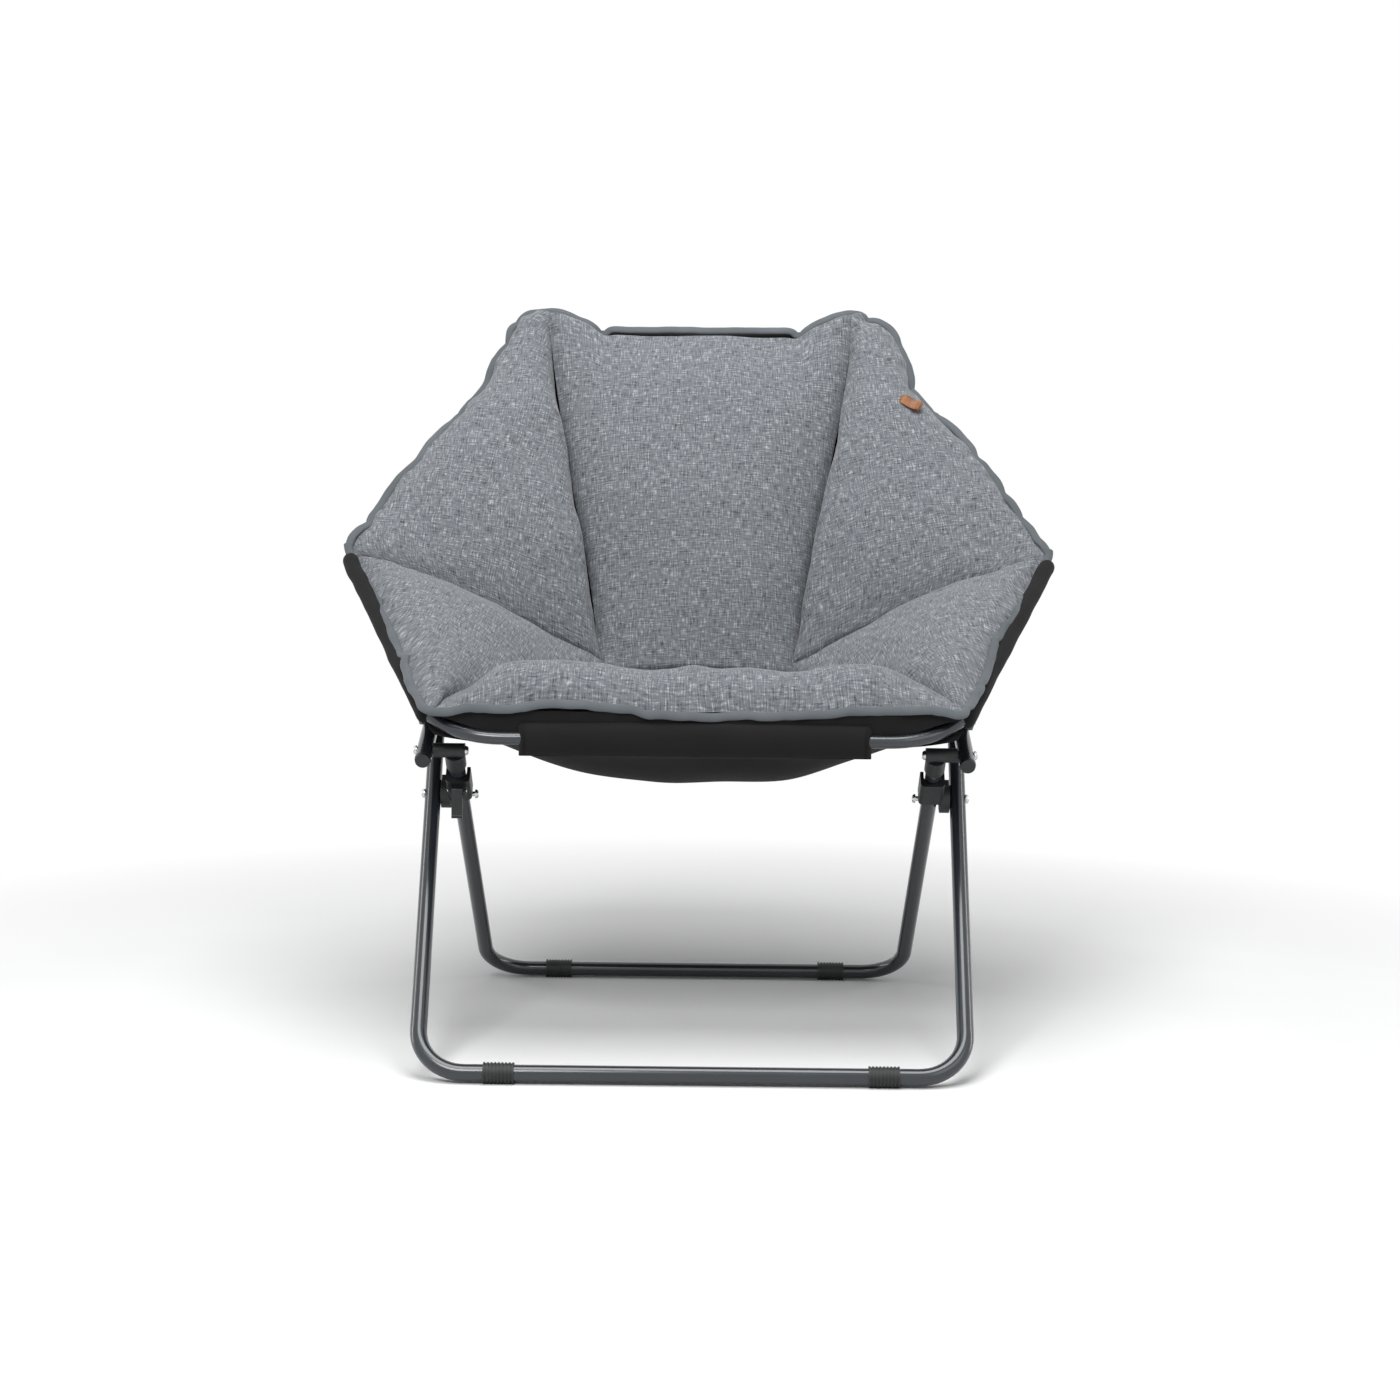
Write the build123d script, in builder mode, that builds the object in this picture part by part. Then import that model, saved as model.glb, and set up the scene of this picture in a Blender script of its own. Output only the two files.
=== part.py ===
from build123d import *
import os
from math import atan2, cos, degrees, radians, sin, hypot

# Folding saucer chair: a padded hexagonal seat on crossed tubular legs.
# Millimetres, +X to the sitter's left as seen from the front, -Y to the front, +Z up, floor at z = 0.

# --- driving sizes -------------------------------------------------------------------------------
LEG_OD = 19.0  # leg and back frame tube
SEAT_OD = 15.0  # thinner tube of the seat frame
TUBE_WALL = 1.5
MID_DEPTH = 301.85  # depth of the origin behind the front floor bar

RUN_CLEARANCE = 0.05  # radial, a bolt in its turning hole
SEAT_CLEARANCE = 0.3  # between pieces of different bodies
BOLT_D = 6.0
HEAD_D = 11.0
HEAD_H = 4.0
DOME_R = 3.4

SLEEVE_RIB_R = 11.8  # ribbed foot sleeves on the floor bars
SLEEVE_GROOVE_R = 10.7
SLEEVE_LENGTH = 34.0
SLEEVE_RIBS = 9
SLEEVE_FLAT = 0.5  # the ribs are worn flat where they stand
FRONT_SLEEVE_X = 212.0
REAR_SLEEVE_X = 181.0
BAR_Z = SLEEVE_RIB_R - SLEEVE_FLAT

REAR_BAR_DEPTH = 560.0
CROSS_DEPTH = 250.0  # the legs' crossing pivot
CROSS_Z = 287.0
FRONT_LEG_X = 313.0  # half widths of the two leg frames, at the crossing and on the floor
FRONT_FLOOR_X = 303.0
REAR_LEG_X = 280.5
REAR_FLOOR_X = 275.0
LEG_BEND_R = 54.0
TOP_REACH = 118.0  # front leg, crossing pivot to top pivot
SIDE_REACH = 90.0  # rear leg, crossing pivot to upper pivot
LEG_TAIL = 12.0  # tube past the front leg's top pivot

RAIL_X = 314.6
RAIL_SLOPE = 20.7
RAIL_NOSE = 24.0  # rail in front of the upper pivot
RAIL_TO_SEAT_PIVOT = 90.0
RAIL_BEND_DEPTH = 398.0
RAIL_BEND_R = 110.0
TOP_BAR_DEPTH = 606.0
TOP_BAR_Z = 846.0
TOP_BAR_X = 188.0
TOP_BEND_R = 55.0

SEAT_BAR_DEPTH = 99.0
SEAT_BAR_Z = 371.0
SEAT_CORNER_X = 292.5
SEAT_BEND_R = 109.0
TIP_X = 428.0  # ends of the seat frame's arms, under the side corners
TIP_DEPTH = 384.0
TIP_Z = 552.0

PLATE_T = 3.0
PLATE_X = 327.7  # inner face of the side plates
PLATE_EYE_R = 11.0
SPACER_R = 8.0

CAP_LENGTH = 9.0
CAP_LIP = 1.2
CAP_PLUG = 14.0


def at(x, depth, z):
    """A point from its distance behind the front floor bar."""
    return Vector(x, depth - MID_DEPTH, z)


# --- side view geometry of the fold ----------------------------------------------------------------
front_slope = atan2(CROSS_Z - BAR_Z, CROSS_DEPTH)
rear_slope = atan2(CROSS_Z - BAR_Z, CROSS_DEPTH - REAR_BAR_DEPTH)
front_length = hypot(CROSS_Z - BAR_Z, CROSS_DEPTH)
rear_length = hypot(CROSS_Z - BAR_Z, CROSS_DEPTH - REAR_BAR_DEPTH)


def along(depth, z, slope, distance):
    """The side view point (depth, z) that lies a distance along a slope in radians."""
    return depth + distance * cos(slope), z + distance * sin(slope)


side_pivot = along(CROSS_DEPTH, CROSS_Z, rear_slope, SIDE_REACH)
top_pivot = along(CROSS_DEPTH, CROSS_Z, front_slope, TOP_REACH)
rail_angle = radians(RAIL_SLOPE)
rail_nose = along(*side_pivot, rail_angle, -RAIL_NOSE)
seat_pivot = along(*side_pivot, rail_angle, RAIL_TO_SEAT_PIVOT)
rail_bend_z = side_pivot[1] + (RAIL_BEND_DEPTH - side_pivot[0]) * sin(rail_angle) / cos(rail_angle)


def tube(points, radii, diameter):
    """A bent round tube along a polyline with rounded corners."""
    with BuildPart() as bent:
        with BuildLine() as route:
            FilletPolyline(*points, radius=radii)
        start = route.line @ 0
        with BuildSketch(Plane(origin=start, z_dir=route.line % 0)):
            Circle(diameter / 2)
            Circle(diameter / 2 - TUBE_WALL, mode=Mode.SUBTRACT)
        sweep(path=route.line)
    return bent.part


def cross_bar(depth, z, x_from, x_to, radius):
    """A round bar along X."""
    with BuildPart() as bar:
        with BuildSketch(Plane(origin=at(x_from, depth, z), x_dir=(0, 1, 0), z_dir=(1, 0, 0))):
            Circle(radius)
        extrude(amount=x_to - x_from)
    return bar.part


def bolt(pivot, head_face, nut_face):
    """A bolt along X with a domed head outside and a domed nut inside, on the +X side."""
    with BuildPart() as body:
        add(cross_bar(*pivot, nut_face, head_face, BOLT_D / 2))
        add(cross_bar(*pivot, head_face, head_face + HEAD_H, HEAD_D / 2))
        add(cross_bar(*pivot, nut_face - HEAD_H, nut_face, HEAD_D / 2))
        outer_rims = body.edges().filter_by(GeomType.CIRCLE).group_by(Axis.X)
        fillet([*outer_rims[0], *outer_rims[-1]], DOME_R)
    return body.part


def both_sides(part):
    """A piece and its mirror image as two solids of one node."""
    return Part(children=[*part.solids(), *mirror(part, about=Plane.YZ).solids()])


def drilled(part, holes):
    """The part with round holes along X through both of its sides, each (pivot, radius)."""
    with BuildPart() as piece:
        add(part)
        for pivot, radius in holes:
            add(cross_bar(*pivot, -500, 500, radius), mode=Mode.SUBTRACT)
    return piece.part


bolt_hole = BOLT_D / 2 + RUN_CLEARANCE
cross_pivot = (CROSS_DEPTH, CROSS_Z)

# --- front leg frame: floor bar and two uprights ----------------------------------------------------
front_top = along(*top_pivot, front_slope, LEG_TAIL)
splay = (FRONT_LEG_X - FRONT_FLOOR_X) / front_length
front_top_x = FRONT_FLOOR_X + splay * (front_length + TOP_REACH + LEG_TAIL)
front_leg = drilled(
    tube(
        [
            at(-front_top_x, *front_top),
            at(-FRONT_FLOOR_X, 0, BAR_Z),
            at(FRONT_FLOOR_X, 0, BAR_Z),
            at(front_top_x, *front_top),
        ],
        LEG_BEND_R,
        LEG_OD,
    ),
    [(cross_pivot, bolt_hole)],
)

# --- rear leg frame --------------------------------------------------------------------------------
TEE_R = 8.5
rear_top = along(*side_pivot, rear_slope, -TEE_R)
rear_leg = drilled(
    tube(
        [
            at(-REAR_LEG_X, *rear_top),
            at(-REAR_FLOOR_X, REAR_BAR_DEPTH, BAR_Z),
            at(REAR_FLOOR_X, REAR_BAR_DEPTH, BAR_Z),
            at(REAR_LEG_X, *rear_top),
        ],
        LEG_BEND_R,
        LEG_OD,
    ),
    [(cross_pivot, bolt_hole)],
)

# --- back frame: two rails bent up into an arch --------------------------------------------------------
back_frame = drilled(
    tube(
        [
            at(-RAIL_X, *rail_nose),
            at(-RAIL_X, RAIL_BEND_DEPTH, rail_bend_z),
            at(-TOP_BAR_X, TOP_BAR_DEPTH, TOP_BAR_Z),
            at(TOP_BAR_X, TOP_BAR_DEPTH, TOP_BAR_Z),
            at(RAIL_X, RAIL_BEND_DEPTH, rail_bend_z),
            at(RAIL_X, *rail_nose),
        ],
        [RAIL_BEND_R, TOP_BEND_R, TOP_BEND_R, RAIL_BEND_R],
        LEG_OD,
    ),
    [(side_pivot, bolt_hole), (seat_pivot, bolt_hole)],
)

# --- seat frame: front bar and two spread arms -----------------------------------------------------------
seat_points = [
    at(-TIP_X, TIP_DEPTH, TIP_Z),
    at(-SEAT_CORNER_X, SEAT_BAR_DEPTH, SEAT_BAR_Z),
    at(SEAT_CORNER_X, SEAT_BAR_DEPTH, SEAT_BAR_Z),
    at(TIP_X, TIP_DEPTH, TIP_Z),
]
seat_frame = tube(seat_points, SEAT_BEND_R, SEAT_OD)
arm_share = (PLATE_X + PLATE_T / 2 - SEAT_CORNER_X) / (TIP_X - SEAT_CORNER_X)
plate_root = (
    SEAT_BAR_DEPTH + arm_share * (TIP_DEPTH - SEAT_BAR_DEPTH),
    SEAT_BAR_Z + arm_share * (TIP_Z - SEAT_BAR_Z),
)

# --- side plates: they hang under the seat frame's arms and carry its two pivots -------------------------
with BuildPart() as side_plate:
    with BuildSketch(Plane(origin=at(PLATE_X, 0, 0), x_dir=(0, 1, 0), z_dir=(1, 0, 0))):
        for start, end in ((plate_root, seat_pivot), (seat_pivot, top_pivot), (plate_root, top_pivot)):
            with BuildLine():
                Line(start, end)
            trace(line_width=2 * PLATE_EYE_R)
        with Locations(plate_root, seat_pivot, top_pivot):
            Circle(PLATE_EYE_R)
        with Locations(seat_pivot, top_pivot):
            Circle(bolt_hole, mode=Mode.SUBTRACT)
    extrude(amount=PLATE_T)
    with BuildLine() as arm_line:
        Line(seat_points[2], seat_points[3])
    with BuildSketch(Plane(origin=arm_line.line @ 0, z_dir=arm_line.line % 0)):
        Circle(SEAT_OD / 2)
    sweep(path=arm_line.line, mode=Mode.SUBTRACT)
plate_right = Part(children=[max(side_plate.part.solids(), key=lambda s: s.volume)])

# --- hinge blocks: a moulded plate beside the front leg with a cradle that stops the rear leg ------------------
BLOCK_R = 17.0
BLOCK_INNER_X = 291.5
CRADLE_WALL = 4.0
CRADLE_FROM = 8.0
CRADLE_TO = 46.0
cradle_r = LEG_OD / 2 + SEAT_CLEARANCE + 0.5
leg_lean = (REAR_LEG_X - REAR_FLOOR_X) / (rear_length + SIDE_REACH)
cross_leg_x = REAR_FLOOR_X + leg_lean * rear_length
block_face_x = FRONT_LEG_X - LEG_OD / 2 - 3 * SEAT_CLEARANCE
with BuildPart() as hinge_block:
    with BuildSketch(Plane(origin=at(BLOCK_INNER_X, *cross_pivot), x_dir=(0, 1, 0), z_dir=(1, 0, 0))):
        Circle(BLOCK_R)
        with Locations((4, 6)):
            Rectangle(22, 24, rotation=degrees(rear_slope))
    extrude(amount=block_face_x - BLOCK_INNER_X)
    cradle_plane = Plane(
        origin=at(cross_leg_x, *along(*cross_pivot, rear_slope, CRADLE_FROM)),
        x_dir=(1, 0, 0),
        z_dir=(0, cos(rear_slope), sin(rear_slope)),
    )
    with BuildSketch(cradle_plane):
        with Locations((0, 0)):
            RectangleRounded(2 * (cradle_r + CRADLE_WALL), 2 * (cradle_r + CRADLE_WALL), 5)
        with Locations((0, cradle_r + CRADLE_WALL)):
            Rectangle(4 * cradle_r, cradle_r + CRADLE_WALL, mode=Mode.SUBTRACT)
    extrude(amount=CRADLE_TO - CRADLE_FROM)
    with BuildSketch(cradle_plane.offset(-10)):
        Circle(cradle_r)
        with Locations((0, cradle_r * 2)):
            Rectangle(2 * cradle_r, 4 * cradle_r)
    extrude(amount=CRADLE_TO - CRADLE_FROM + 20, mode=Mode.SUBTRACT)
    add(cross_bar(*cross_pivot, 250, 350, bolt_hole), mode=Mode.SUBTRACT)

# --- lock lever: a sprung tab on one hinge block that holds the rear leg in its cradle ----------------------
LEVER_ALONG = 36.0
LEVER_W = 13.0
LEVER_T = 4.0
LEVER_DROP = 30.0
LEVER_GAP = 5.5
LEVER_EYE_R = 4.5
LEVER_PIN_R = 2.0
EAR_T = 3.5
EAR_W = 9.0
lever_seat = along(*cross_pivot, rear_slope, LEVER_ALONG)
cradle_back = cradle_r + CRADLE_WALL
lever_pivot = along(*lever_seat, rear_slope + radians(90), cradle_back + LEVER_GAP)
lever_x = -REAR_FLOOR_X - leg_lean * (rear_length + LEVER_ALONG)
with BuildPart() as lock_lever:
    with BuildSketch(Plane(origin=at(lever_x - LEVER_W / 2, *lever_pivot), x_dir=(0, 1, 0), z_dir=(1, 0, 0))):
        Circle(LEVER_EYE_R)
        with Locations((-LEVER_EYE_R + LEVER_T / 2, -LEVER_DROP / 2)):
            Rectangle(LEVER_T, LEVER_DROP)
        with Locations((-LEVER_EYE_R + LEVER_T / 2, -LEVER_DROP)):
            Circle(LEVER_T * 0.7)
        Circle(LEVER_PIN_R + RUN_CLEARANCE, mode=Mode.SUBTRACT)
    extrude(amount=LEVER_W)

with BuildPart() as lever_ears:
    ear_plane = Plane(
        origin=at(lever_x, *lever_seat), x_dir=(1, 0, 0), z_dir=(0, cos(rear_slope), sin(rear_slope))
    )
    ear_reach = LEVER_GAP + LEVER_EYE_R
    with BuildSketch(ear_plane.offset(-EAR_W / 2)):
        for side in (-1, 1):
            with Locations((side * (LEVER_W / 2 + SEAT_CLEARANCE + EAR_T / 2), -cradle_back - ear_reach / 2)):
                Rectangle(EAR_T, ear_reach)
    extrude(amount=EAR_W)
    add(cross_bar(*lever_pivot, -400, -200, LEVER_PIN_R + RUN_CLEARANCE), mode=Mode.SUBTRACT)

pin_half = LEVER_W / 2 + SEAT_CLEARANCE + EAR_T + 1.0
lever_pin = cross_bar(*lever_pivot, lever_x - pin_half, lever_x + pin_half, LEVER_PIN_R)

# --- tee fittings: a barrel on the upper pivot bolt with a socket over the rear leg's top end -----------------
TEE_COLLAR_R = 12.0
TEE_COLLAR_LENGTH = 20.0
rail_inner_x = RAIL_X - LEG_OD / 2
tee_x = REAR_LEG_X
with BuildPart() as tee_fitting:
    tee_inner_x = tee_x - TEE_COLLAR_R - 0.5
    add(cross_bar(*side_pivot, tee_inner_x, rail_inner_x - SEAT_CLEARANCE, TEE_R))
    collar_plane = Plane(
        origin=at(tee_x, *along(*side_pivot, rear_slope, -TEE_R - TEE_COLLAR_LENGTH)),
        z_dir=(0, cos(rear_slope), sin(rear_slope)),
    )
    with BuildSketch(collar_plane):
        Circle(TEE_COLLAR_R)
    extrude(amount=TEE_COLLAR_LENGTH + TEE_R * 0.5)
    leg_dir = (at(REAR_LEG_X, *rear_top) - at(REAR_FLOOR_X, REAR_BAR_DEPTH, BAR_Z)).normalized()
    with BuildSketch(Plane(origin=at(REAR_LEG_X, *rear_top) - leg_dir * 60, z_dir=leg_dir)):
        Circle(LEG_OD / 2 + RUN_CLEARANCE)
    extrude(amount=60 + RUN_CLEARANCE, mode=Mode.SUBTRACT)
    add(cross_bar(*side_pivot, 200, 400, bolt_hole), mode=Mode.SUBTRACT)

# --- pivot bolts -----------------------------------------------------------------------------------------
cross_inner_x = cross_leg_x - LEG_OD / 2 - CRADLE_WALL - 3.5
cross_outer_x = FRONT_LEG_X + LEG_OD / 2
lower_bolt = bolt(cross_pivot, cross_outer_x + 0.3, cross_inner_x)
upper_bolt = bolt(side_pivot, RAIL_X + LEG_OD / 2 + 0.2, tee_inner_x - SEAT_CLEARANCE)
seat_bolt = bolt(seat_pivot, PLATE_X + PLATE_T + SEAT_CLEARANCE, RAIL_X - LEG_OD / 2 - 0.2)
with BuildPart() as top_bolt:
    add(cross_bar(*top_pivot, PLATE_X, PLATE_X + PLATE_T, BOLT_D / 2))
    add(cross_bar(*top_pivot, PLATE_X + PLATE_T, PLATE_X + PLATE_T + HEAD_H, HEAD_D / 2))
    fillet(top_bolt.edges().filter_by(GeomType.CIRCLE).group_by(Axis.X)[-1], DOME_R)
spacer = drilled(
    cross_bar(*seat_pivot, RAIL_X + LEG_OD / 2 + 0.1, PLATE_X - SEAT_CLEARANCE, SPACER_R), [(seat_pivot, bolt_hole)]
)


# --- caps and plugs in the open tube ends ---------------------------------------------------------------------
def end_cap(end, inward, diameter, lip=CAP_LIP):
    """A moulded cap over a tube's end with a plug inside its bore."""
    with BuildPart() as cap:
        with BuildSketch(Plane(origin=end, z_dir=inward)):
            Circle(diameter / 2 - TUBE_WALL - RUN_CLEARANCE)
        extrude(amount=CAP_PLUG)
        with BuildSketch(Plane(origin=end, z_dir=-inward)):
            Circle(diameter / 2 + lip)
        extrude(amount=CAP_LENGTH * 0.45, taper=12)
    return cap.part


rail_dir = Vector(0, cos(rail_angle), sin(rail_angle))
rail_cap = end_cap(at(RAIL_X, *rail_nose), rail_dir, LEG_OD, 0)
front_end = at(front_top_x, *front_top)
front_cap = end_cap(front_end, (at(FRONT_FLOOR_X, 0, BAR_Z) - front_end).normalized(), LEG_OD, -1.5)
tip = at(TIP_X, TIP_DEPTH, TIP_Z)
tip_cap = end_cap(tip, (at(SEAT_CORNER_X, SEAT_BAR_DEPTH, SEAT_BAR_Z) - tip).normalized(), SEAT_OD, 0.5)


# --- ribbed foot sleeves -----------------------------------------------------------------------------------------
def foot_sleeve(x, depth):
    """A ribbed sleeve on a floor bar, flat where it stands."""
    pitch = SLEEVE_LENGTH / (2 * SLEEVE_RIBS - 1)
    start = x - SLEEVE_LENGTH / 2
    with BuildPart() as sleeve:
        add(cross_bar(depth, BAR_Z, start, start + SLEEVE_LENGTH, SLEEVE_GROOVE_R))
        for rib in range(SLEEVE_RIBS):
            add(cross_bar(depth, BAR_Z, start + 2 * rib * pitch, start + (2 * rib + 1) * pitch, SLEEVE_RIB_R))
        add(cross_bar(depth, BAR_Z, start - 1, start + SLEEVE_LENGTH + 1, LEG_OD / 2), mode=Mode.SUBTRACT)
        with BuildSketch(Plane.XY):
            with Locations((x, depth - MID_DEPTH)):
                Rectangle(2 * SLEEVE_LENGTH, 4 * SLEEVE_RIB_R)
        extrude(amount=-4, mode=Mode.SUBTRACT)
    return sleeve.part


# --- soft parts ---------------------------------------------------------------------------------------------------
def pad(rows, edge):
    """A quilted panel: crowned sections between a left and a right line. Each row holds its two end points, the
    crown on the sitter's side, the bulge behind, and the direction that the panel faces."""
    with BuildPart() as body:
        for left, right, crown, behind, face in rows:
            across = right - left
            half = across.length / 2
            with BuildSketch(Plane(origin=(left + right) * 0.5, x_dir=across, z_dir=across.cross(Vector(*face)))):
                with BuildLine():
                    ThreePointArc((-half, edge), (0, edge + crown), (half, edge))
                    Line((half, edge), (half, -edge))
                    ThreePointArc((half, -edge), (0, -edge - behind), (-half, -edge))
                    Line((-half, -edge), (-half, edge))
                make_face()
        loft()
    return body.part


PAD_EDGE = 6.0
BACK_FACE = (0, -0.9, 0.42)
SIDE_FACE = (-0.55, -0.75, 0.35)
ARM_FACE = (-0.6, -0.2, 0.75)
SEAT_FACE = (0, 0, 1)


def level(half_width, depth, z, crown, behind, face):
    """A row of a panel that lies the same to left and right."""
    return at(-half_width, depth, z), at(half_width, depth, z), crown, behind, face


back_pad = pad(
    [
        level(178, 588, 848, 8, 3, BACK_FACE),
        level(172, 549, 750, 34, 6, BACK_FACE),
        level(146, 490, 605, 42, 8, BACK_FACE),
        level(124, 443, 490, 36, 6, BACK_FACE),
        level(112, 408, 418, 12, 3, BACK_FACE),
    ],
    PAD_EDGE,
)
side_pad = pad(
    [
        (at(186, 595, 870.5), at(212, 593, 878.5), 3, 2, SIDE_FACE),
        (at(184, 540.5, 756), at(300, 517, 767), 24, 3, SIDE_FACE),
        (at(160, 487, 609), at(380, 451, 665), 36, 4, SIDE_FACE),
        (at(140, 445, 497), at(442, 407, 589), 30, 6, SIDE_FACE),
        (at(134, 418, 446), at(424, 392, 572), 8, 3, SIDE_FACE),
    ],
    PAD_EDGE,
)
arm_pad = pad(
    [
        (at(140, 398, 420), at(418, 374, 560), 8, 3, ARM_FACE),
        (at(180, 322, 396), at(398, 302, 534), 26, 4, ARM_FACE),
        (at(232, 246, 402), at(358, 228, 486), 28, 3, ARM_FACE),
        (at(306, 208, 430), at(328, 190, 456), 6, 2, ARM_FACE),
    ],
    PAD_EDGE,
)
seat_pad = pad(
    [
        level(104, 388, 389.6, 6, 8, SEAT_FACE),
        level(150, 320, 363.6, 16, 14, SEAT_FACE),
        level(190, 260, 355.6, 18, 16, SEAT_FACE),
        level(226, 212, 365.6, 8, 6, SEAT_FACE),
    ],
    PAD_EDGE,
)
ROLL_FRONT = 106.0
ROLL_REAR = 196.0
ROLL_Z = 401.9
ROLL_ROWS = ((-292, 8, 1), (-230, 24, 3), (-120, 42, 6), (0, 45, 8), (120, 42, 6), (230, 24, 3), (292, 8, 1))
front_roll = pad(
    [(at(x, ROLL_FRONT, ROLL_Z), at(x, ROLL_REAR, ROLL_Z), crown, under, SEAT_FACE) for x, crown, under in ROLL_ROWS],
    PAD_EDGE,
)
SLING_T = 1.2
sling = pad(
    [
        level(196, 109.4, 366, -4, 4, SEAT_FACE),
        level(246, 180, 364, -48, 48, SEAT_FACE),
        level(256, 250, 376, -66, 66, SEAT_FACE),
        level(262, 330, 396, -60, 60, SEAT_FACE),
        level(268, 400, 430, -48, 48, SEAT_FACE),
    ],
    SLING_T,
)

FRONT_POCKET_X = 200.0
POCKET_H = 41.0
POCKET_W = 20.0
with BuildPart() as front_pocket:
    with BuildSketch(Plane(origin=at(-FRONT_POCKET_X, SEAT_BAR_DEPTH, SEAT_BAR_Z), x_dir=(0, 0, 1), z_dir=(1, 0, 0))):
        SlotOverall(POCKET_H, POCKET_W)
        Circle(SEAT_OD / 2 + RUN_CLEARANCE, mode=Mode.SUBTRACT)
    extrude(amount=2 * FRONT_POCKET_X)

# --- write the pieces -----------------------------------------------------------------------------------------------
block_left = mirror(hinge_block.part, about=Plane.YZ)
pieces = {
    "front_leg_frame": front_leg,
    "front_leg_plugs": both_sides(front_cap),
    "foot_sleeve_front_right": foot_sleeve(FRONT_SLEEVE_X, 0),
    "foot_sleeve_front_left": foot_sleeve(-FRONT_SLEEVE_X, 0),
    "hinge_block_right": hinge_block.part,
    "hinge_block_left": block_left,
    "lever_ears": lever_ears.part,
    "lever_pin": lever_pin,
    "lock_lever": lock_lever.part,
    "crossing_bolts": both_sides(lower_bolt),
    "rear_leg_frame": rear_leg,
    "foot_sleeve_rear_right": foot_sleeve(REAR_SLEEVE_X, REAR_BAR_DEPTH),
    "foot_sleeve_rear_left": foot_sleeve(-REAR_SLEEVE_X, REAR_BAR_DEPTH),
    "tee_fitting_right": tee_fitting.part,
    "tee_fitting_left": mirror(tee_fitting.part, about=Plane.YZ),
    "back_frame_tube": back_frame,
    "rail_cap_right": rail_cap,
    "rail_cap_left": mirror(rail_cap, about=Plane.YZ),
    "upper_bolts": both_sides(upper_bolt),
    "seat_pivot_bolts": both_sides(seat_bolt),
    "pivot_spacers": both_sides(spacer),
    "back_cushion_centre": back_pad,
    "back_cushion_right": side_pad,
    "back_cushion_left": mirror(side_pad, about=Plane.YZ),
    "seat_frame_tube": seat_frame,
    "seat_tip_caps": both_sides(tip_cap),
    "side_plate_right": plate_right,
    "side_plate_left": mirror(plate_right, about=Plane.YZ),
    "top_pivot_bolts": both_sides(top_bolt.part),
    "arm_cushion_right": arm_pad,
    "arm_cushion_left": mirror(arm_pad, about=Plane.YZ),
    "seat_cushion": seat_pad,
    "front_roll": front_roll,
    "seat_sling": sling,
    "front_pocket": front_pocket.part,
}
os.makedirs("parts", exist_ok=True)
for name, piece in pieces.items():
    piece.label = name
    export_step(piece, f"parts/{name}.step")
box = Compound(children=[piece for piece in pieces.values()]).bounding_box()
print("box", box.min, box.max)
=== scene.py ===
"""Looks of a folding saucer chair: a quilted, cupped seat in grey melange cloth on a powder-coated tube frame.

Lengths in the classes are millimetres in the chair's own terms: x to the right seen from the front, depth behind
the front floor bar, z up from the floor. `at` turns them into scene metres.
"""

import logging
import math
from collections.abc import Callable, Sequence
from dataclasses import dataclass, field, replace
from enum import Enum

import bmesh
import bpy
from mathutils import Matrix, Vector, noise

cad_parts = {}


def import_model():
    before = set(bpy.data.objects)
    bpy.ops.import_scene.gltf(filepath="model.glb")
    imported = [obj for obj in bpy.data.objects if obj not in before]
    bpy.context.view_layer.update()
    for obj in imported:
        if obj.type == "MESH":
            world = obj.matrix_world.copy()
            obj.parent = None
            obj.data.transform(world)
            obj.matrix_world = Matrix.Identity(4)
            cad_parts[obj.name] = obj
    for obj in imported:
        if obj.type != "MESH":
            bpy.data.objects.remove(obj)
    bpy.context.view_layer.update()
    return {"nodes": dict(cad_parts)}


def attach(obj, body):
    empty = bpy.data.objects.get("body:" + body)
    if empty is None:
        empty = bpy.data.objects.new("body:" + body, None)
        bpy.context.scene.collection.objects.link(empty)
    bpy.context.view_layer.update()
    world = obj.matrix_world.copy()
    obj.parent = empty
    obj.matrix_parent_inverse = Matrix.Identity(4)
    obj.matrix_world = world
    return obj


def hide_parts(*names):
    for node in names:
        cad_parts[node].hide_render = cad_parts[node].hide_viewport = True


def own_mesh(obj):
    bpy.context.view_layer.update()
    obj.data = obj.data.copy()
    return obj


LOG = logging.getLogger("saucer_chair")
MID_DEPTH = 301.85
MM = 0.001
WAVE_SEED = 7
Point = tuple[float, float, float]
Ripple = Callable[[Vector], Vector]


class Body(str, Enum):
    """The chair's moving bodies that carry a soft piece."""

    BACK = "back_frame"
    SEAT = "seat_frame"


class Side(Enum):
    """Left and right as seen from the front."""

    RIGHT = 1
    LEFT = -1

    @property
    def word(self) -> str:
        """The side's name as it stands in node names."""
        return self.name.lower()


def at(x: float, depth: float, z: float) -> Vector:
    """A scene point in metres from chair millimetres."""
    return Vector((x, depth - MID_DEPTH, z)) * MM


def srgb(code: str) -> tuple[float, float, float, float]:
    """Turn an sRGB hex colour into linear RGBA.

    Args:
        code: six hex digits with a leading hash.

    Returns:
        The linear colour with an alpha of 1.
    """
    parts = [int(code[i : i + 2], 16) / 255 for i in (1, 3, 5)]
    red, green, blue = (c / 12.92 if c <= 0.04045 else ((c + 0.055) / 1.055) ** 2.4 for c in parts)
    return red, green, blue, 1.0


def add_node(
    tree: bpy.types.NodeTree,
    kind: str,
    settings: dict[str, object] | None = None,
    links: dict[str, bpy.types.NodeSocket] | None = None,
) -> bpy.types.Node:
    """Add one shader node.

    Args:
        tree: the node tree that gets the node.
        kind: Blender's node type name.
        settings: node attributes by name, or values of input sockets by their label.
        links: output sockets to plug into inputs, by the input's label.

    Returns:
        The new node.
    """
    node = tree.nodes.new(kind)
    for name, value in (settings or {}).items():
        if name in node.inputs:
            node.inputs[name].default_value = value
        else:
            setattr(node, name, value)
    for name, output in (links or {}).items():
        tree.links.new(output, node.inputs[name])
    return node


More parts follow.
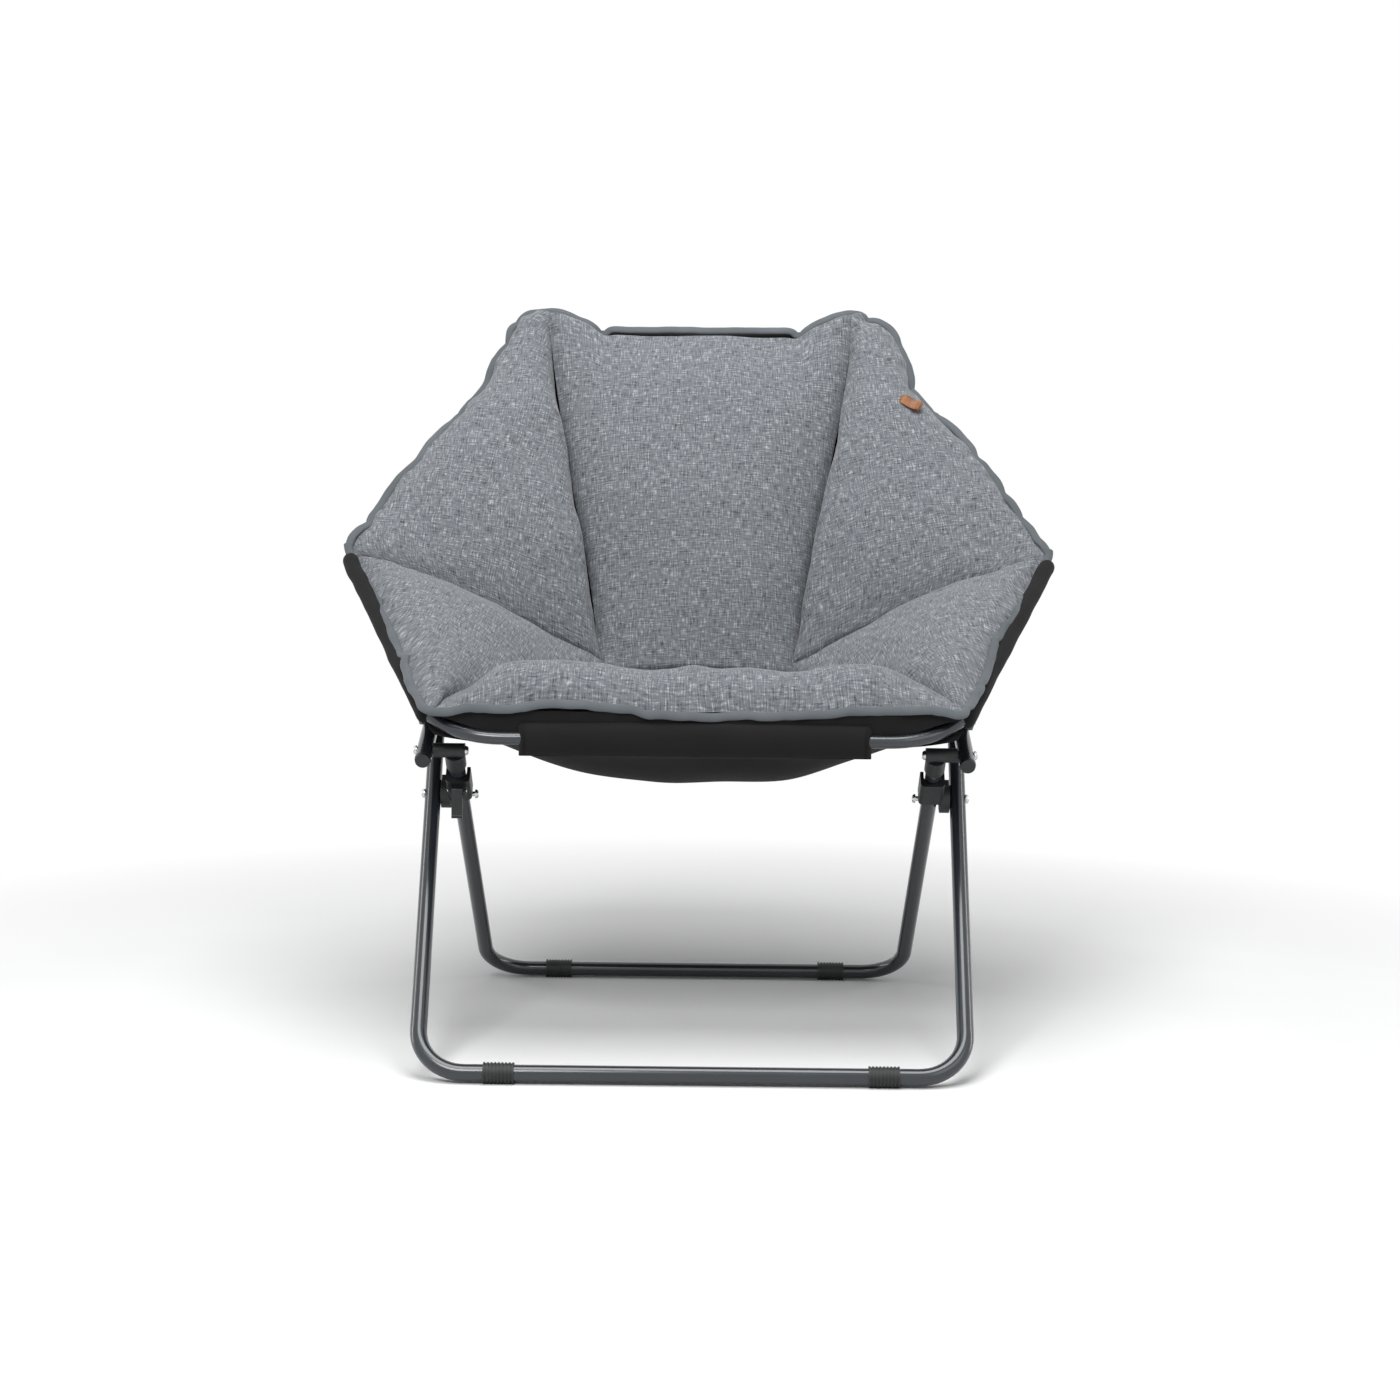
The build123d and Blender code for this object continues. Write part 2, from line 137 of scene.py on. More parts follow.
def blank_material(name: str) -> tuple[bpy.types.Material, bpy.types.NodeTree]:
    """Start a node material.

    Args:
        name: the material's name.

    Returns:
        The material and its empty node tree.
    """
    material = bpy.data.materials.new(name)
    material.use_nodes = True
    material.node_tree.nodes.clear()
    return material, material.node_tree


def ramp(
    tree: bpy.types.NodeTree, factor: bpy.types.NodeSocket, stops: Sequence[tuple[float, str]]
) -> bpy.types.NodeSocket:
    """Colour a 0 to 1 value.

    Args:
        tree: the material's node tree.
        factor: the socket with the value.
        stops: places and sRGB hex colours, in order.

    Returns:
        The ramp's colour socket.
    """
    node = add_node(tree, "ShaderNodeValToRGB", {}, {"Fac": factor})
    bands = node.color_ramp
    bands.elements[0].position, bands.elements[0].color = stops[0][0], srgb(stops[0][1])
    bands.elements[1].position, bands.elements[1].color = stops[-1][0], srgb(stops[-1][1])
    for place, code in stops[1:-1]:
        bands.elements.new(place).color = srgb(code)
    return node.outputs["Color"]


def finish_shader(
    tree: bpy.types.NodeTree, settings: dict[str, object], links: dict[str, bpy.types.NodeSocket]
) -> None:
    """Close a material with a Principled shader and the output."""
    shader = add_node(tree, "ShaderNodeBsdfPrincipled", settings, links)
    add_node(tree, "ShaderNodeOutputMaterial", {}, {"Surface": shader.outputs["BSDF"]})


@dataclass(frozen=True)
class MelangeCloth:
    """Polyester melange canvas, woven from light and dark yarns with slubs: matt, with short pale streaks both ways."""

    name: str = "melange_canvas_woven"
    deep: str = "#3a3e42"
    body: str = "#71757a"
    pale: str = "#babec1"
    yarn_mm: float = 1.1
    slub_mm: float = 1.6
    slub_length_mm: float = 13.0

    def streaks(self, tree: bpy.types.NodeTree, uv: bpy.types.NodeSocket, along_u: bool) -> bpy.types.NodeSocket:
        """Noise drawn out along one thread direction.

        Args:
            tree: the material's node tree.
            uv: the piece's UV coordinates in metres.
            along_u: True for the weft, False for the warp.

        Returns:
            The streak value.
        """
        fine, long = 1000 / self.slub_mm, 1000 / self.slub_length_mm
        scale = (long, fine, 1.0) if along_u else (fine, long, 1.0)
        mapped = add_node(tree, "ShaderNodeMapping", {"Scale": scale}, {"Vector": uv})
        return add_node(
            tree,
            "ShaderNodeTexNoise",
            {"Scale": 1.0, "Detail": 3.0, "Roughness": 0.62},
            {"Vector": mapped.outputs["Vector"]},
        ).outputs["Fac"]

    def build(self) -> bpy.types.Material:
        """Make the material.

        Returns:
            The finished material.
        """
        material, tree = blank_material(self.name)
        uv = add_node(tree, "ShaderNodeUVMap", {"uv_map": "weave"}).outputs["UV"]
        weft, warp = self.streaks(tree, uv, True), self.streaks(tree, uv, False)
        both = add_node(
            tree, "ShaderNodeMix", {"data_type": "FLOAT", "Factor": 0.5}, {"A": weft, "B": warp}
        ).outputs["Result"]
        colour = ramp(tree, both, [(0.37, self.deep), (0.48, self.body), (0.53, self.body), (0.66, self.pale)])
        # The single yarns are 0.6 mm in the real cloth and are drawn wider, so that the weave shows in a picture.
        yarns = 1000 / self.yarn_mm
        grid = add_node(tree, "ShaderNodeMapping", {"Scale": (yarns, yarns, 1.0)}, {"Vector": uv})
        yarn = add_node(tree, "ShaderNodeTexNoise", {"Scale": 0.8, "Detail": 2.0}, {"Vector": grid.outputs["Vector"]})
        height = add_node(
            tree, "ShaderNodeMix", {"data_type": "FLOAT", "Factor": 0.45}, {"A": both, "B": yarn.outputs["Fac"]}
        ).outputs["Result"]
        bump = add_node(tree, "ShaderNodeBump", {"Strength": 0.35, "Distance": 0.0008}, {"Height": height})
        finish_shader(
            tree,
            {"Roughness": 0.92, "Specular IOR Level": 0.25, "Sheen Weight": 0.18, "Sheen Roughness": 0.5},
            {"Base Color": colour, "Normal": bump.outputs["Normal"]},
        )
        return material


@dataclass(frozen=True)
class PlainCloth:
    """Polyester cloth in a fine plain weave: an even colour with a faint grain and a soft sheen at its folds."""

    name: str
    colour: str
    light: str
    thread_mm: float = 1.4
    rough: float = 0.85
    sheen: float = 0.15

    def build(self) -> bpy.types.Material:
        """Make the material.

        Returns:
            The finished material.
        """
        material, tree = blank_material(self.name)
        place = add_node(tree, "ShaderNodeTexCoord").outputs["Object"]
        cloudy = add_node(
            tree, "ShaderNodeTexNoise", {"Scale": 14.0, "Detail": 3.0, "Roughness": 0.6}, {"Vector": place}
        ).outputs["Fac"]
        colour = ramp(tree, cloudy, [(0.3, self.colour), (0.75, self.light)])
        # Threads of 0.3 mm would vanish at this distance, so the grain is drawn at thread_mm.
        grain = add_node(
            tree, "ShaderNodeTexNoise", {"Scale": 1000 / self.thread_mm, "Detail": 1.0}, {"Vector": place}
        ).outputs["Fac"]
        bump = add_node(tree, "ShaderNodeBump", {"Strength": 0.25, "Distance": 0.0005}, {"Height": grain})
        finish_shader(
            tree,
            {"Roughness": self.rough, "Specular IOR Level": 0.3, "Sheen Weight": self.sheen, "Sheen Roughness": 0.4},
            {"Base Color": colour, "Normal": bump.outputs["Normal"]},
        )
        return material


@dataclass(frozen=True)
class PowderCoat:
    """Steel tube with a baked powder coat: semi-gloss slate grey with a faint orange peel and paler rubbed spots."""

    name: str = "powder_coated_steel_baked"
    colour: str = "#272b30"
    worn: str = "#2d3237"
    peel_mm: float = 2.5

    def build(self) -> bpy.types.Material:
        """Make the material.

        Returns:
            The finished material.
        """
        material, tree = blank_material(self.name)
        place = add_node(tree, "ShaderNodeTexCoord").outputs["Object"]
        cloudy = add_node(tree, "ShaderNodeTexNoise", {"Scale": 9.0, "Detail": 4.0}, {"Vector": place}).outputs["Fac"]
        colour = ramp(tree, cloudy, [(0.35, self.colour), (0.7, self.worn)])
        rough = add_node(
            tree, "ShaderNodeMapRange", {"To Min": 0.15, "To Max": 0.24}, {"Value": cloudy}
        ).outputs["Result"]
        peel = add_node(
            tree, "ShaderNodeTexNoise", {"Scale": 1000 / self.peel_mm, "Detail": 1.0}, {"Vector": place}
        ).outputs["Fac"]
        bump = add_node(tree, "ShaderNodeBump", {"Strength": 0.06, "Distance": 0.0003}, {"Height": peel})
        finish_shader(
            tree,
            {"IOR": 1.5, "Coat Weight": 0.25, "Coat Roughness": 0.15},
            {"Base Color": colour, "Roughness": rough, "Normal": bump.outputs["Normal"]},
        )
        return material


@dataclass(frozen=True)
class MouldedPlastic:
    """Injection-moulded nylon or soft PVC: black, matt, with a fine spark-eroded grain and paler scuffs."""

    name: str
    colour: str = "#17181a"
    scuff: str = "#26282a"
    grain_mm: float = 0.8
    rough: float = 0.48

    def build(self) -> bpy.types.Material:
        """Make the material.

        Returns:
            The finished material.
        """
        material, tree = blank_material(self.name)
        place = add_node(tree, "ShaderNodeTexCoord").outputs["Object"]
        marks = add_node(
            tree, "ShaderNodeTexNoise", {"Scale": 60.0, "Detail": 5.0, "Roughness": 0.7}, {"Vector": place}
        ).outputs["Fac"]
        colour = ramp(tree, marks, [(0.45, self.colour), (0.8, self.scuff)])
        grain = add_node(
            tree, "ShaderNodeTexVoronoi", {"Scale": 1000 / self.grain_mm}, {"Vector": place}
        ).outputs["Distance"]
        bump = add_node(tree, "ShaderNodeBump", {"Strength": 0.15, "Distance": 0.0002}, {"Height": grain})
        finish_shader(
            tree,
            {"Roughness": self.rough, "IOR": 1.5},
            {"Base Color": colour, "Normal": bump.outputs["Normal"]},
        )
        return material


@dataclass(frozen=True)
class ZincPlate:
    """Bright zinc plate on cold-headed steel: silvery, with small differences of gloss."""

    name: str = "zinc_plated_steel_headed"
    colour: str = "#c9cbcc"

    def build(self) -> bpy.types.Material:
        """Make the material.

        Returns:
            The finished material.
        """
        material, tree = blank_material(self.name)
        place = add_node(tree, "ShaderNodeTexCoord").outputs["Object"]
        marks = add_node(tree, "ShaderNodeTexNoise", {"Scale": 400.0, "Detail": 3.0}, {"Vector": place}).outputs["Fac"]
        rough = add_node(
            tree, "ShaderNodeMapRange", {"To Min": 0.16, "To Max": 0.34}, {"Value": marks}
        ).outputs["Result"]
        finish_shader(tree, {"Base Color": srgb(self.colour), "Metallic": 1.0}, {"Roughness": rough})
        return material


@dataclass(frozen=True)
class TannedLeather:
    """Vegetable-tanned cowhide: warm tan with fine pores and darker clouds."""

    name: str = "tan_cowhide_tanned"
    colour: str = "#8f5726"
    dark: str = "#633712"
    pore_mm: float = 0.9

    def build(self) -> bpy.types.Material:
        """Make the material.

        Returns:
            The finished material.
        """
        material, tree = blank_material(self.name)
        place = add_node(tree, "ShaderNodeTexCoord").outputs["Object"]
        tone = add_node(
            tree, "ShaderNodeTexNoise", {"Scale": 120.0, "Detail": 4.0, "Roughness": 0.65}, {"Vector": place}
        ).outputs["Fac"]
        colour = ramp(tree, tone, [(0.35, self.dark), (0.6, self.colour)])
        pores = add_node(
            tree, "ShaderNodeTexVoronoi", {"Scale": 1000 / self.pore_mm}, {"Vector": place}
        ).outputs["Distance"]
        bump = add_node(tree, "ShaderNodeBump", {"Strength": 0.3, "Distance": 0.0003}, {"Height": pores})
        finish_shader(tree, {"Roughness": 0.5}, {"Base Color": colour, "Normal": bump.outputs["Normal"]})
        return material


@dataclass
class Finishes:
    """Every material of the chair, made once."""

    cloth: bpy.types.Material = field(init=False)
    binding: bpy.types.Material = field(init=False)
    cover: bpy.types.Material = field(init=False)
    thread: bpy.types.Material = field(init=False)
    coat: bpy.types.Material = field(init=False)
    plastic: bpy.types.Material = field(init=False)
    rubber: bpy.types.Material = field(init=False)
    zinc: bpy.types.Material = field(init=False)
    leather: bpy.types.Material = field(init=False)

    def __post_init__(self) -> None:
        """Build the materials."""
        self.cloth = MelangeCloth().build()
        self.binding = PlainCloth(
            "grosgrain_binding_woven", "#52575a", "#60656a", thread_mm=1.2, rough=0.7, sheen=0.2
        ).build()
        self.cover = PlainCloth("black_oxford_woven", "#0b0b0c", "#121213", rough=0.9, sheen=0.03).build()
        self.thread = PlainCloth(
            "black_thread_twisted", "#020203", "#050506", thread_mm=0.8, rough=0.9, sheen=0.0
        ).build()
        self.coat = PowderCoat().build()
        self.plastic = MouldedPlastic("black_nylon_moulded").build()
        self.rubber = MouldedPlastic("soft_pvc_moulded", "#1b1c1d", "#2c2d2e", grain_mm=1.2, rough=0.6).build()
        self.zinc = ZincPlate().build()
        self.leather = TannedLeather().build()

    def dress_hardware(self, nodes: dict[str, bpy.types.Object]) -> None:
        """Give every rigid node of the frame its finish.

        Args:
            nodes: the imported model's objects by node name.
        """
        for name, node in nodes.items():
            if "foot_sleeve" in name:
                chosen = self.rubber
            elif "bolts" in name or name == "lever_pin":
                chosen = self.zinc
            elif "tube" in name or "leg_frame" in name or "plate" in name:
                chosen = self.coat
            elif any(word in name for word in ("cushion", "roll", "sling", "pocket")):
                continue
            else:
                chosen = self.plastic
            for place in node.material_slots:
                place.material = chosen
            LOG.info("node %s gets %s", name, chosen.name)


@dataclass(frozen=True)
class Row:
    """One cross-section of a stuffed panel, from its inner to its outer edge."""

    inner: Point
    outer: Point
    crown: float
    behind: float
    face: Point
    skew: float = 1.0
    rim: float = 4.0

    def numbers(self) -> list[float]:
        """The row as plain numbers, for blending between rows."""
        return [*self.inner, *self.outer, self.crown, self.behind, *self.face, self.skew, self.rim]

    @staticmethod
    def of(values: Sequence[float]) -> "Row":
        """The row that plain numbers stand for."""
        v = list(values)
        return Row((v[0], v[1], v[2]), (v[3], v[4], v[5]), v[6], v[7], (v[8], v[9], v[10]), v[11], v[12])


def catmull(values: Sequence[Sequence[float]], t: float) -> list[float]:
    """Blend smoothly through lists of numbers.

    Args:
        values: the lists, evenly spaced.
        t: the place, from 0 at the first to 1 at the last.

    Returns:
        The blended list.
    """
    last = len(values) - 1
    place = min(max(t, 0.0), 1.0) * last
    i = min(int(place), last - 1)
    f = place - i
    a, b = values[max(i - 1, 0)], values[i]
    c, d = values[i + 1], values[min(i + 2, last)]
    return [
        0.5 * (2 * q + (r - p) * f + (2 * p - 5 * q + 4 * r - s) * f**2 + (3 * q - p - 3 * r + s) * f**3)
        for p, q, r, s in zip(a, b, c, d)
    ]


def finish_mesh(bm: bmesh.types.BMesh, name: str, material: bpy.types.Material, detail: int = 0) -> bpy.types.Object:
    """Close a bmesh into a smooth object at the origin.

    Args:
        bm: the mesh, which is freed.
        name: the object's name.
        material: its finish.
        detail: levels of subdivision surface.

    Returns:
        The new object.
    """
    bmesh.ops.recalc_face_normals(bm, faces=bm.faces)
    for face in bm.faces:
        face.smooth = True
    mesh = bpy.data.meshes.new(name)
    bm.to_mesh(mesh)
    bm.free()
    mesh.materials.append(material)
    piece = bpy.data.objects.new(name, mesh)
    bpy.context.scene.collection.objects.link(piece)
    if detail:
        smooth = piece.modifiers.new("smooth", "SUBSURF")
        smooth.levels = smooth.render_levels = detail
    return piece


def slack(place: Vector, size_mm: float, lift_mm: float, seed: float = 0.0) -> float:
    """A smooth random lift in metres, with lumps of a size, that is the same in every run."""
    return noise.noise(place / (size_mm * MM) + Vector((seed, seed * 1.7, seed * 0.3))) * lift_mm * MM


def smooth(share: float) -> float:
    """An even S-curve from 0 to 1."""
    share = min(1.0, max(0.0, share))
    return share * share * (3 - 2 * share)


def rounded(share: float) -> float:
    """A quarter circle's rise from 0 to 1."""
    return math.sqrt(share * (2 - share))


def loft(bm: bmesh.types.BMesh, rings: Sequence[Sequence[bmesh.types.BMVert]]) -> None:
    """Bridge each ring of vertices to the next.

    Args:
        bm: the mesh.
        rings: the rings' vertices, in order.
    """
    loops = [list({edge for vert in ring for edge in vert.link_edges}) for ring in rings]
    for first, second in zip(loops, loops[1:]):
        bmesh.ops.bridge_loops(bm, edges=first + second)


@dataclass(frozen=True)
class BoundRim:
    """How the seat's bound edge wanders, is gathered and rises into the top corners. Lengths are metres."""

    centre_z: float = 0.62
    broad_size: float = 0.055
    broad_swing: float = 0.0042
    tight_size: float = 0.019
    tight_swing: float = 0.0016
    depth_share: float = 0.6
    kink_size: float = 0.062
    kink_width: float = 0.3
    kink_roundness: float = 0.55
    bulge: float = 0.007
    tuck: float = 0.005
    bar_z: float = 0.8
    bar_fade: float = 0.03
    bar_half: float = 0.205
    bar_calm_half: float = 0.15
    bar_calm: float = 0.6
    front_z: float = 0.43
    front_half: float = 0.27
    front_fade: float = 0.02
    front_calm: float = 0.75
    ear_foot_z: float = 0.72
    ear_height: float = 0.122
    # Where each step of an ear starts, how broad it is and how high.
    ear_steps: tuple[tuple[float, float, float], ...] = ((0.128, 0.018, 0.012), (0.138, 0.064, 0.019))
    dip_x: float = 0.13
    dip_half: float = 0.006
    dip_depth: float = 0.005
    seam_inset: float = 0.0035
    seam_proud: float = 0.002

    def outward(self, place: Vector) -> Vector:
        """The direction from the middle of the seat to a place, seen from the front."""
        return Vector((place.x, 0.0, place.z - self.centre_z)).normalized()

    def on_bar(self, place: Vector, half: float) -> float:
        """1 along the straight top bar, up to a distance from its middle, and 0 elsewhere."""
        return smooth((half - abs(place.x)) / self.bar_fade) * smooth((place.z - self.bar_z) / self.bar_fade)

    def wave(self, place: Vector) -> Vector:
        """How the edge wanders at a place.

        Args:
            place: a point of the edge or of the panel beside it.

        Returns:
            The move.
        """
        broad, tight = noise.noise_vector(place / self.broad_size), noise.noise_vector(place / self.tight_size)
        swing = broad * self.broad_swing + tight * self.tight_swing
        return Vector((swing.x, swing.y * self.depth_share, swing.z))

    def kinks(self, place: Vector) -> Vector:
        """Pull the rim in at sharp puckers and let it stand out between them, least on the two straight runs.

        Args:
            place: a point of the rim.

        Returns:
            The move.
        """
        drawn = abs(noise.noise(place / self.kink_size + Vector((3.1, 0.0, 1.7))))
        free = min(1.0, drawn / self.kink_width)
        low = smooth((self.front_z - place.z) / self.front_fade)
        front = low * smooth((self.front_half - abs(place.x)) / self.front_fade)
        reach = self.bulge * free**self.kink_roundness - self.tuck
        return self.outward(place) * reach * (1 - self.on_bar(place, self.bar_half)) * (1 - self.front_calm * front)

    def ears(self, place: Vector) -> Vector:
        """Lift the back's top edge into its two corners in two steps, with a dip before each.

        Args:
            place: a point of the centre back.

        Returns:
            The move.
        """
        aside = abs(place.x)
        height = min(1.0, max(0.0, (place.z - self.ear_foot_z) / self.ear_height))
        rise = sum(high * smooth((aside - start) / broad) for start, broad, high in self.ear_steps)
        rise -= self.dip_depth * math.exp(-(((aside - self.dip_x) / self.dip_half) ** 2))
        return Vector((0.0, 0.0, rise * height**2)) + self.wave(place) * (0.5 * height)

    def seam(self, place: Vector) -> Vector:
        """Lay the binding on the bound edge, just inside the outline and proud of the panels.

        Args:
            place: a point of the binding's line.

        Returns:
            The move.
        """
        wave = self.wave(place) * (1 - self.bar_calm * self.on_bar(place, self.bar_calm_half))
        inset = self.outward(place) * -self.seam_inset
        return wave + self.kinks(place) + inset - Vector((0.0, self.seam_proud, 0.0))


@dataclass
class StuffedPanel:
    """A stuffed panel, lofted through rows, with lumps of loose filling and puckers along its bound edges.

    A bound edge lies flat in the binding. An open edge is rounded, beside a channel or another panel. Both ends are
    sewn shut.
    """

    name: str
    rows: list[Row]
    body: Body
    stands_for: str
    finish: bpy.types.Material
    around: int = 56
    steps: int = 44
    lump_mm: float = 3.0
    pucker_mm: float = 2.6
    seed: float = 0.0
    bound_inner: bool = False
    bound_outer: bool = False
    shape: Ripple | None = None
    fill: float = 0.7
    hem_mm: float = 4.0
    slot: str = "seat_fabric"
    backing: bpy.types.Material | None = None
    rim: BoundRim = BoundRim()
    flange: float = 0.02
    bound_reach: float = 0.055
    channel_reach: float = 0.03
    closing_steps: int = 3
    crown_breadth: float = 2.3
    crown_roundness: float = 0.64
    side_roundness: float = 3.0
    broad_lump_mm: float = 120.0
    small_lump_mm: float = 45.0
    small_lump_share: float = 0.35
    bound_calm: float = 0.6
    channel_calm: float = 0.8
    pucker_size: float = 0.016

    def section(self, bm: bmesh.types.BMesh, row: Row, along: float, plump: float) -> list[bmesh.types.BMVert]:
        """One ring of the panel.

        Args:
            bm: the panel's mesh.
            row: the ring's row.
            along: metres from the first row, for the weave.
            plump: how full the ring is, from 0 where it is sewn shut to 1.

        Returns:
            The ring's vertices.
        """
        layers = bm.verts.layers.float
        inner, outer = at(*row.inner), at(*row.outer)
        hem = (outer - inner).normalized() * (self.hem_mm * MM)
        inner += hem * self.bound_inner
        outer -= hem * self.bound_outer
        middle, across = (inner + outer) / 2, outer - inner
        half = across.length / 2
        x_axis = across.normalized()
        face = Vector(row.face)
        y_axis = (face - x_axis * face.dot(x_axis)).normalized()
        ring = bmesh.ops.create_circle(bm, cap_ends=False, segments=self.around, radius=1.0)["verts"]
        for vert in ring:
            turn = math.atan2(vert.co.y, vert.co.x)
            t = math.cos(turn)
            front = math.sin(turn) >= -0.001
            edges = (((t + 1) * half, self.bound_inner), ((1 - t) * half, self.bound_outer))
            to_bound = [gap for gap, bound in edges if bound]
            to_open = [gap for gap, bound in edges if not bound]
            flange = min([1.0, *(gap / self.flange for gap in to_bound)])
            share = ((t + 1) / 2) ** row.skew
            rise = max(0.0, 1 - abs(2 * share - 1) ** self.crown_breadth) ** self.crown_roundness
            rise *= flange * (2 - flange)
            lift = (row.rim / 2 + (row.crown if front else row.behind) * rise) * MM
            edge = min(1.0, abs(math.sin(turn)) * self.side_roundness)
            offset = lift * (1 if front else -1) * edge * plump
            vert.co = middle + x_axis * (t * half) + y_axis * offset
            vert[layers["across"]] = t * half if front or not plump else 2 * half - t * half
            vert[layers["along"]] = along
            vert[layers["rear"]] = 0.0 if front else 1.0
            vert[layers["bound"]] = max([0.0, *(1 - gap / self.bound_reach for gap in to_bound)])
            vert[layers["channel"]] = max([0.0, *(1 - gap / self.channel_reach for gap in to_open)])
        return ring

    def build(self) -> bpy.types.Object:
        """Loft the panel and dress it.

        Returns:
            The panel's object, riding on its body.
        """
        bm = bmesh.new()
        for layer in ("across", "along", "bound", "rear", "channel"):
            bm.verts.layers.float.new(layer)
        numbers = [row.numbers() for row in self.rows]
        along, before, rings, shut = 0.0, None, [], []
        for step in range(self.steps + 1):
            row = Row.of(catmull(numbers, step / self.steps))
            middle = (at(*row.inner) + at(*row.outer)) / 2
            along += (middle - before).length if before else 0.0
            before = middle
            near = min(1.0, step / self.closing_steps, (self.steps - step) / self.closing_steps)
            rings.append(self.section(bm, row, along, rounded(near)))
            shut += [] if near else rings[-1]
        loft(bm, rings)
        bmesh.ops.remove_doubles(bm, verts=shut, dist=0.02 * MM)
        bmesh.ops.recalc_face_normals(bm, faces=bm.faces)
        self.soften(bm)
        self.lay_weave(bm)
        if self.backing:
            self.face_behind(bm)
        piece = finish_mesh(bm, self.name, self.finish, 1)
        if self.backing:
            piece.data.materials.append(self.backing)
        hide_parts(self.stands_for)
        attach(piece, self.body.value)
        LOG.info("panel %s: %d faces", self.name, len(piece.data.polygons))
        return piece

    def face_behind(self, bm: bmesh.types.BMesh) -> None:
        """Give the backing cloth to the faces that lie half or more behind the edge seams.

        Args:
            bm: the panel's mesh.
        """
        rear_layer = bm.verts.layers.float["rear"]
        for face in bm.faces:
            shares = [vert[rear_layer] for vert in face.verts]
            face.material_index = int(2 * sum(shares) >= len(shares))

    def soften(self, bm: bmesh.types.BMesh) -> None:
        """Lift and drop the surface as loose stuffing and gathered edges do.

        Args:
            bm: the panel's mesh.
        """
        layers = bm.verts.layers.float
        bm.normal_update()
        moves = []
        for vert in bm.verts:
            bound, channel = vert[layers["bound"]], vert[layers["channel"]]
            lift = slack(vert.co, self.broad_lump_mm, self.lump_mm, self.seed)
            lift += slack(vert.co, self.small_lump_mm, self.lump_mm * self.small_lump_share, self.seed + 5)
            lift *= (1 - self.bound_calm * bound) * (1 - self.channel_calm * channel)
            gather = noise.noise(vert.co / self.pucker_size + Vector((self.seed, 0, 0))) * self.pucker_mm * MM
            # The gathers are deepest a little way in from the seam, which holds the edge itself.
            lift += gather * bound * (1.3 - bound)
            moves.append(vert.normal * lift + self.rim.kinks(vert.co) * bound)
        for vert, move in zip(bm.verts, moves):
            vert.co += move
        if self.shape:
            for vert in bm.verts:
                vert.co += self.shape(vert.co)

    def lay_weave(self, bm: bmesh.types.BMesh) -> None:
        """Write the weave's UV map, in metres of cloth.

        Args:
            bm: the panel's mesh.
        """
        layers = bm.verts.layers.float
        across_layer, along_layer = layers["across"], layers["along"]
        uv = bm.loops.layers.uv.new("weave")
        for face in bm.faces:
            for loop in face.loops:
                loop[uv].uv = (loop.vert[across_layer] + 2 * self.seed, loop.vert[along_layer] + self.seed)


@dataclass
class Band:
    """A narrow strip, cord or tunnel of cloth swept along a line, with closed ends that may narrow to a nose."""

    name: str
    points: Sequence[Point]
    width: float
    thickness: float
    face: Point
    body: Body
    finish: bpy.types.Material
    around: int = 12
    steps: int = 150
    ripple: Ripple | None = None
    slot: str | None = "under_fabric"
    nose: float = 0.0
    nose_tip: float = 0.15
    stride: float = 0.004

    def build(self) -> bpy.types.Object:
        """Sweep the band.

        Returns:
            The band's object, riding on its body.
        """
        bm = bmesh.new()
        rings = []
        for step in range(self.steps + 1):
            t = step / self.steps
            here = at(*catmull(self.points, t))
            if self.ripple:
                here += self.ripple(here)
            ahead = at(*catmull(self.points, t + self.stride)) - at(*catmull(self.points, t - self.stride))
            run = ahead.normalized()
            face = Vector(self.face)
            y_axis = (face - run * face.dot(run)).normalized()
            x_axis = run.cross(y_axis)
            full = rounded(min(1.0, self.nose_tip + min(t, 1 - t) / self.nose)) if self.nose else 1.0
            ring = bmesh.ops.create_circle(bm, cap_ends=False, segments=self.around, radius=0.5)["verts"]
            for vert in ring:
                aside, up = vert.co.x * self.width * full, vert.co.y * self.thickness * full
                vert.co = here + x_axis * (aside * MM) + y_axis * (up * MM)
            rings.append(ring)
        loft(bm, rings)
        bmesh.ops.holes_fill(bm, edges=bm.edges, sides=0)
        piece = finish_mesh(bm, self.name, self.finish, 1)
        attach(piece, self.body.value)
        LOG.info("band %s: %d faces", self.name, len(piece.data.polygons))
        return piece


def mirrored(point: Point, side: Side) -> Point:
    """A point of the right side, or its image on the left."""
    return point[0] * side.value, point[1], point[2]


def mirrored_row(row: Row, side: Side) -> Row:
    """A row of the right side, or its image on the left."""
    inner, outer, face = (mirrored(point, side) for point in (row.inner, row.outer, row.face))
    return replace(row, inner=inner, outer=outer, face=face)


def level(half: float, depth: float, z: float, crown: float, behind: float, face: Point) -> Row:
    """A row that lies the same to left and right."""
    return Row((-half, depth, z), (half, depth, z), crown, behind, face)


